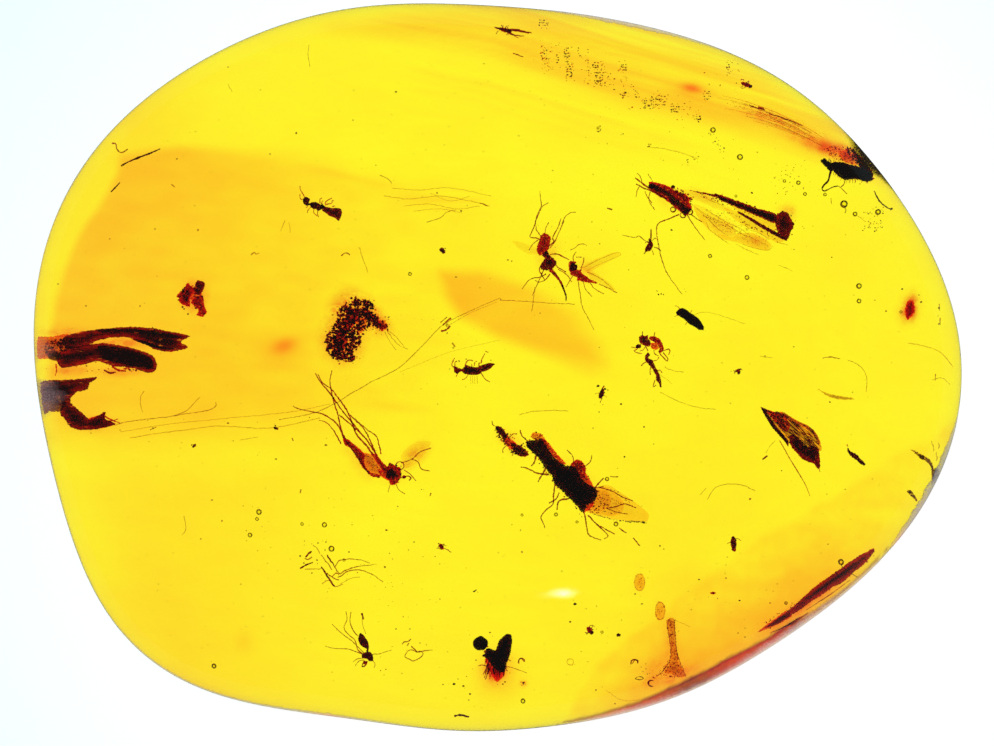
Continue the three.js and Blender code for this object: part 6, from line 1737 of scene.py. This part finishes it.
for _ in range(16):
    t = RNG.rand()
    grain(p, 710 + 16 * t + RNG.normal(0, 2), 132 + 24 * t + RNG.normal(0, 2), RNG.uniform(0.4, 0.8), 4.8, [olive, hair][RNG.randint(2)])
for _ in range(34):
    grain(p, RNG.uniform(770, 806), RNG.uniform(163, 196), RNG.uniform(0.4, 0.8), 4.4, hair)
for _ in range(44):
    grain(p, RNG.uniform(862, 886), RNG.uniform(206, 232), RNG.uniform(0.35, 0.8), 3.9, [hair, olive][RNG.randint(2)])
for x, y, r in [(454, 684, 1.2), (463.3, 686, 0.9), (470, 694, 0.9), (443, 684.5, 0.6), (458, 679, 0.5), (468.7, 700, 0.6), (474, 591.5, 0.8), (476, 590, 0.6)]:
    ball(p, (x, y), r, 4.2, chitin, lump=0.3, thick=0.9)
for q, m in [([(321, 567), (328, 577), (334.5, 586.5)], maroon), ([(300, 568.5), (306, 565), (313, 562.5)], maroon), ([(306, 557), (309, 553), (312, 551)], maroon), ([(327, 555), (331, 561), (334, 566)], leg_red)]:
    tube(p, q, (0.6, 0.9, 0.5), 4.9, m, 0.85, kink=0.6)
p.make()
def blob_in(x, y):
    a, reach = find_angle(np.array([(x - PX0) * PXMM]), np.array([-(y - PY0) * PXMM]))
    return reach[0] < 0.9


p = Pile("fine_dust")
k = 0
while k < 420:
    x, y = RNG.uniform(60, 930), RNG.uniform(30, 700)
    if blob_in(x, y):
        grain(p, x, y, RNG.uniform(0.3, 0.62), RNG.uniform(3.0, 5.4), [olive, hair, faint][RNG.randint(3)], RNG.uniform(0.4, 0.9))
        k += 1
p.make()

# ---------------------------------------------------------------------------
# Weathered film on the rim: grey at the right, pinkish at the lower right, thin grey at the top; it glows with painted
# light of its own colour
# ---------------------------------------------------------------------------
glowing_film_mat, nt, out = new_mat("weathered film with painted glow")
L = nt.links.new
co = add(nt, "ShaderNodeTexCoord")
n1 = add(nt, "ShaderNodeTexNoise", {"Scale": 16000.0, "Detail": 3.0, "Roughness": 0.6})
n2 = add(nt, "ShaderNodeTexNoise", {"Scale": 3000.0, "Detail": 3.0})
L(co.outputs["Object"], n1.inputs["Vector"])
L(co.outputs["Object"], n2.inputs["Vector"])
at = add(nt, "ShaderNodeAttribute", attribute_name="thick")
hue = add(nt, "ShaderNodeAttribute", attribute_name="film")
dm = add(nt, "ShaderNodeMapRange", {"From Min": 0.3, "From Max": 0.7, "To Min": 0.72, "To Max": 1.15})
L(n1.outputs["Fac"], dm.inputs["Value"])
cp = add(nt, "ShaderNodeVectorMath", operation="SCALE")
L(hue.outputs["Color"], cp.inputs[0])
L(dm.outputs[0], cp.inputs["Scale"])
mr = add(nt, "ShaderNodeMapRange", {"From Min": 0.35, "From Max": 0.65, "To Min": 0.35, "To Max": 1.3})
L(n1.outputs["Fac"], mr.inputs["Value"])
m1 = add(nt, "ShaderNodeMath", operation="MULTIPLY", use_clamp=True)
L(at.outputs["Fac"], m1.inputs[0])
L(mr.outputs[0], m1.inputs[1])
tr = add(nt, "ShaderNodeBsdfTransparent")
# painted glow: the film gives off light in its own colour, as if lit from the front, though no lamp lights it
pb = add(nt, "ShaderNodeBsdfPrincipled", {"Roughness": 0.9, "Specular IOR Level": 0.1, "Emission Strength": 0.72})
L(cp.outputs[0], pb.inputs["Base Color"])
L(cp.outputs[0], pb.inputs["Emission Color"])
bp = add(nt, "ShaderNodeBump", {"Strength": 0.5, "Distance": 0.00002})
L(n1.outputs["Fac"], bp.inputs["Height"])
L(bp.outputs[0], pb.inputs["Normal"])
mx = add(nt, "ShaderNodeMixShader")
L(m1.outputs[0], mx.inputs[0])
L(tr.outputs[0], mx.inputs[1])
L(pb.outputs[0], mx.inputs[2])
L(mx.outputs[0], out.inputs[0])
glowing_film_mat.surface_render_method = "BLENDED"
glowing_film_mat.cycles.emission_sampling = "NONE"


COOL, MAUVE = (0.36, 0.35, 0.37), (0.46, 0.39, 0.42)
LIGHT, LILAC, DUSKY, SOOT = (0.86, 0.66, 0.62), (0.27, 0.175, 0.19), (0.50, 0.24, 0.18), (0.022, 0.014, 0.008)
GREY, PALE, PINK, ROSE, RED, BROWN, BLUISH, SAND = (0.44, 0.41, 0.40), (0.60, 0.55, 0.52), (0.85, 0.44, 0.38), (0.75, 0.26, 0.21), (0.60, 0.15, 0.08), (0.34, 0.17, 0.15), (0.46, 0.42, 0.43), (0.70, 0.50, 0.30)


def crust(name, stretch, out_mm=0.03, haze=False, worn=False):
    """a film on the rim that glows with painted light of its own colour. stretch: points (x, y, width in pixels, cover,
    colour) along the rim
    """
    s = np.array([q[:4] for q in stretch], float)
    rgb = np.array([q[4] for q in stretch], float)
    mm = np.stack([(s[:, 0] - PX0) * PXMM, -(s[:, 1] - PY0) * PXMM], 1)
    an = np.unwrap(find_angle(mm[:, 0], mm[:, 1])[0])
    order = np.argsort(an)
    an, s, rgb = an[order], s[order], rgb[order]
    n = max(24, int((an[-1] - an[0]) * 18 / PXMM / 1.1))
    a = np.linspace(an[0], an[-1], n)
    wid, cover = (np.interp(a, an, s[:, k]) for k in (2, 3))
    col = np.stack([np.interp(a, an, rgb[:, k]) for k in range(3)], 1)
    ox, oy = on_ray(a, 1.0)
    half = np.hypot(ox, oy)
    qq = np.stack([a * 60, a * 0], 1)
    wid = wid * (1 + 0.18 * noise_at(qq, 1.0, 51.0) + 0.13 * noise_at(qq, 5.0, 52.0))
    rows, plain = 13, cover

    def ragged(i):                   # the film ends in a worn edge
        q = np.stack([a * 60, a * 0 + i * 0.55], 1)
        wave = noise_at(q, 1.0, 53.0) + 0.5 * noise_at(q, 3.0, 54.0)
        near = np.minimum(a - a[0], a[-1] - a) / min(0.10, 0.3 * (a[-1] - a[0]))
        fade = np.clip(2.4 * near - 0.55 * (1 + np.clip(wave, -1, 1)), 0, 1)
        return np.interp(a, an, s[:, 3]) * fade * fade * (3 - 2 * fade)

    v, th, cl = [], [], []
    for i in range(-2, rows):
        if i < 0:                    # a little way round under the rim
            sq = 1 - 0.06 * -i
            reach = 1 - edge_inset(a) * (1 - sq) / half
            x, y = on_ray(a, reach + out_mm / half)
            z = girdle_height(a) * (1 - math.sqrt(max(0, 1 - sq * sq)))
            v.append(np.stack([x, y, z], 1))
            th.append(ragged(i) * (0.0 if i == -2 else 0.3))
            cl.append(col)
        else:
            t = i / (rows - 1)
            reach = 1 - t * wid * PXMM / half
            x, y = on_ray(a, reach)
            z = _top_z(x, y, a, reach)
            x, y = on_ray(a, reach + out_mm * (1 - t) / half)
            v.append(np.stack([x, y, z + out_mm * t + 0.004], 1))
            cover = plain if haze else ragged(i)
            if haze:                 # a dusty bloom with no edge line
                th.append(cover * np.interp(t, [0, 0.15, 0.45, 0.75, 1], [0.7, 1, 0.72, 0.3, 0]))
                cl.append(col)
                continue
            if worn:                 # paler the nearer to the edge
                th.append(cover * np.interp(t, [0, 0.25, 0.5, 0.75, 1], [1.0, 1.05, 0.85, 0.45, 0]))
                k = np.interp(t, [0, 0.3, 0.6, 1], [0.95, 0.7, 0.2, 0])
                cl.append(col * (1 - k) + np.array(LIGHT) * k)
                continue
            th.append(cover * np.interp(t, [0, 0.3, 0.75, 0.9, 1], [0.5, 0.95, 0.8, 0.8, 0]))
            cl.append(col * np.interp(t, [0, 0.6, 0.8, 0.9, 1], [1.15, 1, 0.75, 0.35, 0.35]))
    v, th, cl = np.concatenate(v), np.concatenate(th), np.concatenate(cl)
    f = [(r * n + i, r * n + i + 1, (r + 1) * n + i + 1, (r + 1) * n + i) for r in range(rows + 1) for i in range(n - 1)]
    o = mesh_object(name, v, f, [glowing_film_mat])
    o.data.attributes.new("thick", "FLOAT", "POINT").data.foreach_set("value", th.astype(np.float32))
    cl = np.concatenate([cl, np.ones((len(cl), 1))], 1)
    o.data.attributes.new("film", "FLOAT_COLOR", "POINT").data.foreach_set("color", cl.astype(np.float32).ravel())
    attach(o, "root")


# each film below glows with painted light of its own colour
crust("film_right", [(959, 400, 1.0, 0.0, GREY), (957, 420, 3.4, 0.6, GREY), (953, 437, 6.0, 0.8, GREY), (946, 460, 9, 0.95, COOL), (937, 480, 10, 0.95, COOL), (924, 504, 10, 0.95, MAUVE), (910, 524, 8.5, 0.9, MAUVE), (895, 543, 6, 0.6, PINK), (878, 561, 3.5, 0.0, SAND)], 0.02)
crust("film_low", [(900, 537, 5, 0.0, SAND), (878, 561, 6, 0.6, SAND), (856, 582, 7, 0.7, SAND), (832, 604, 9, 0.8, SAND), (812, 618, 10, 0.9, SAND), (798, 630, 10, 0.95, BLUISH), (784, 640, 10, 0.9, PINK), (765, 651, 10, 0.9, PINK), (744, 663, 10, 0.9, ROSE), (722, 673, 9, 0.9, ROSE), (706, 682, 9, 0.9, BROWN), (686, 690, 9, 0.9, BROWN),
                     (672, 696, 9, 0.9, ROSE), (650, 703, 9, 0.9, ROSE), (625, 711, 8, 0.9, PINK), (600, 717, 6, 0.85, PINK), (580, 721, 4, 0.6, PALE), (555, 726, 2.5, 0.35, PALE), (520, 729, 1.5, 0.0, PALE)], 0.02, False, True)
crust("film_crack", [(842, 128, 2, 0.0, SOOT), (852, 140, 8, 0.7, SOOT), (861, 150, 15, 2.0, SOOT), (869, 160, 17, 2.5, SOOT), (877, 170, 13, 2.1, SOOT), (885, 180, 7, 1.2, SOOT), (893, 190, 4, 0.6, SOOT), (901, 201, 2.5, 0.0, SOOT)], 0.004, True)
crust("film_top", [(530, 8, 1.5, 0.0, PALE), (560, 11, 3.5, 0.6, PALE), (590, 16, 5.5, 0.75, PALE), (625, 23, 7.0, 0.8, PALE), (665, 33, 6.0, 0.75, PALE), (705, 46, 4.5, 0.5, PALE), (745, 62, 1.5, 0.0, PALE)], 0.02)
crust("film_left", [(150, 110, 1.0, 0.0, GREY), (110, 148, 2.4, 0.45, GREY), (80, 190, 3.0, 0.5, GREY), (58, 235, 2.6, 0.5, SAND), (45, 285, 2.4, 0.45, SAND), (40, 330, 2.0, 0.3, GREY), (42, 400, 2.4, 0.4, GREY), (50, 440, 3.0, 0.6, GREY), (70, 520, 2.6, 0.45, GREY), (110, 610, 2.8, 0.5, GREY), (160, 660, 3.6, 0.6, PALE), (240, 690, 4.0, 0.6, PALE), (300, 705, 4.6, 0.65, PALE), (330, 711, 5.0, 0.7, PINK), (360, 716, 4.4, 0.6, PALE), (420, 723, 3.0, 0.45, PALE), (490, 729, 1.0, 0.0, PALE)], 0.004)
crust("haze_flake", [(37, 377, 5, 0.0, LILAC), (38, 383, 28, 0.75, LILAC), (40, 397, 33, 0.85, LILAC), (43, 409, 26, 0.75, LILAC), (46, 420, 5, 0.0, LILAC)], 0.004, True)
crust("haze_twig", [(35, 333, 5, 0.0, ROSE), (35, 339, 20, 0.25, ROSE), (35, 348, 28, 0.45, DUSKY), (36, 356, 28, 0.5, DUSKY), (36, 363, 5, 0.0, DUSKY)], 0.004, True)
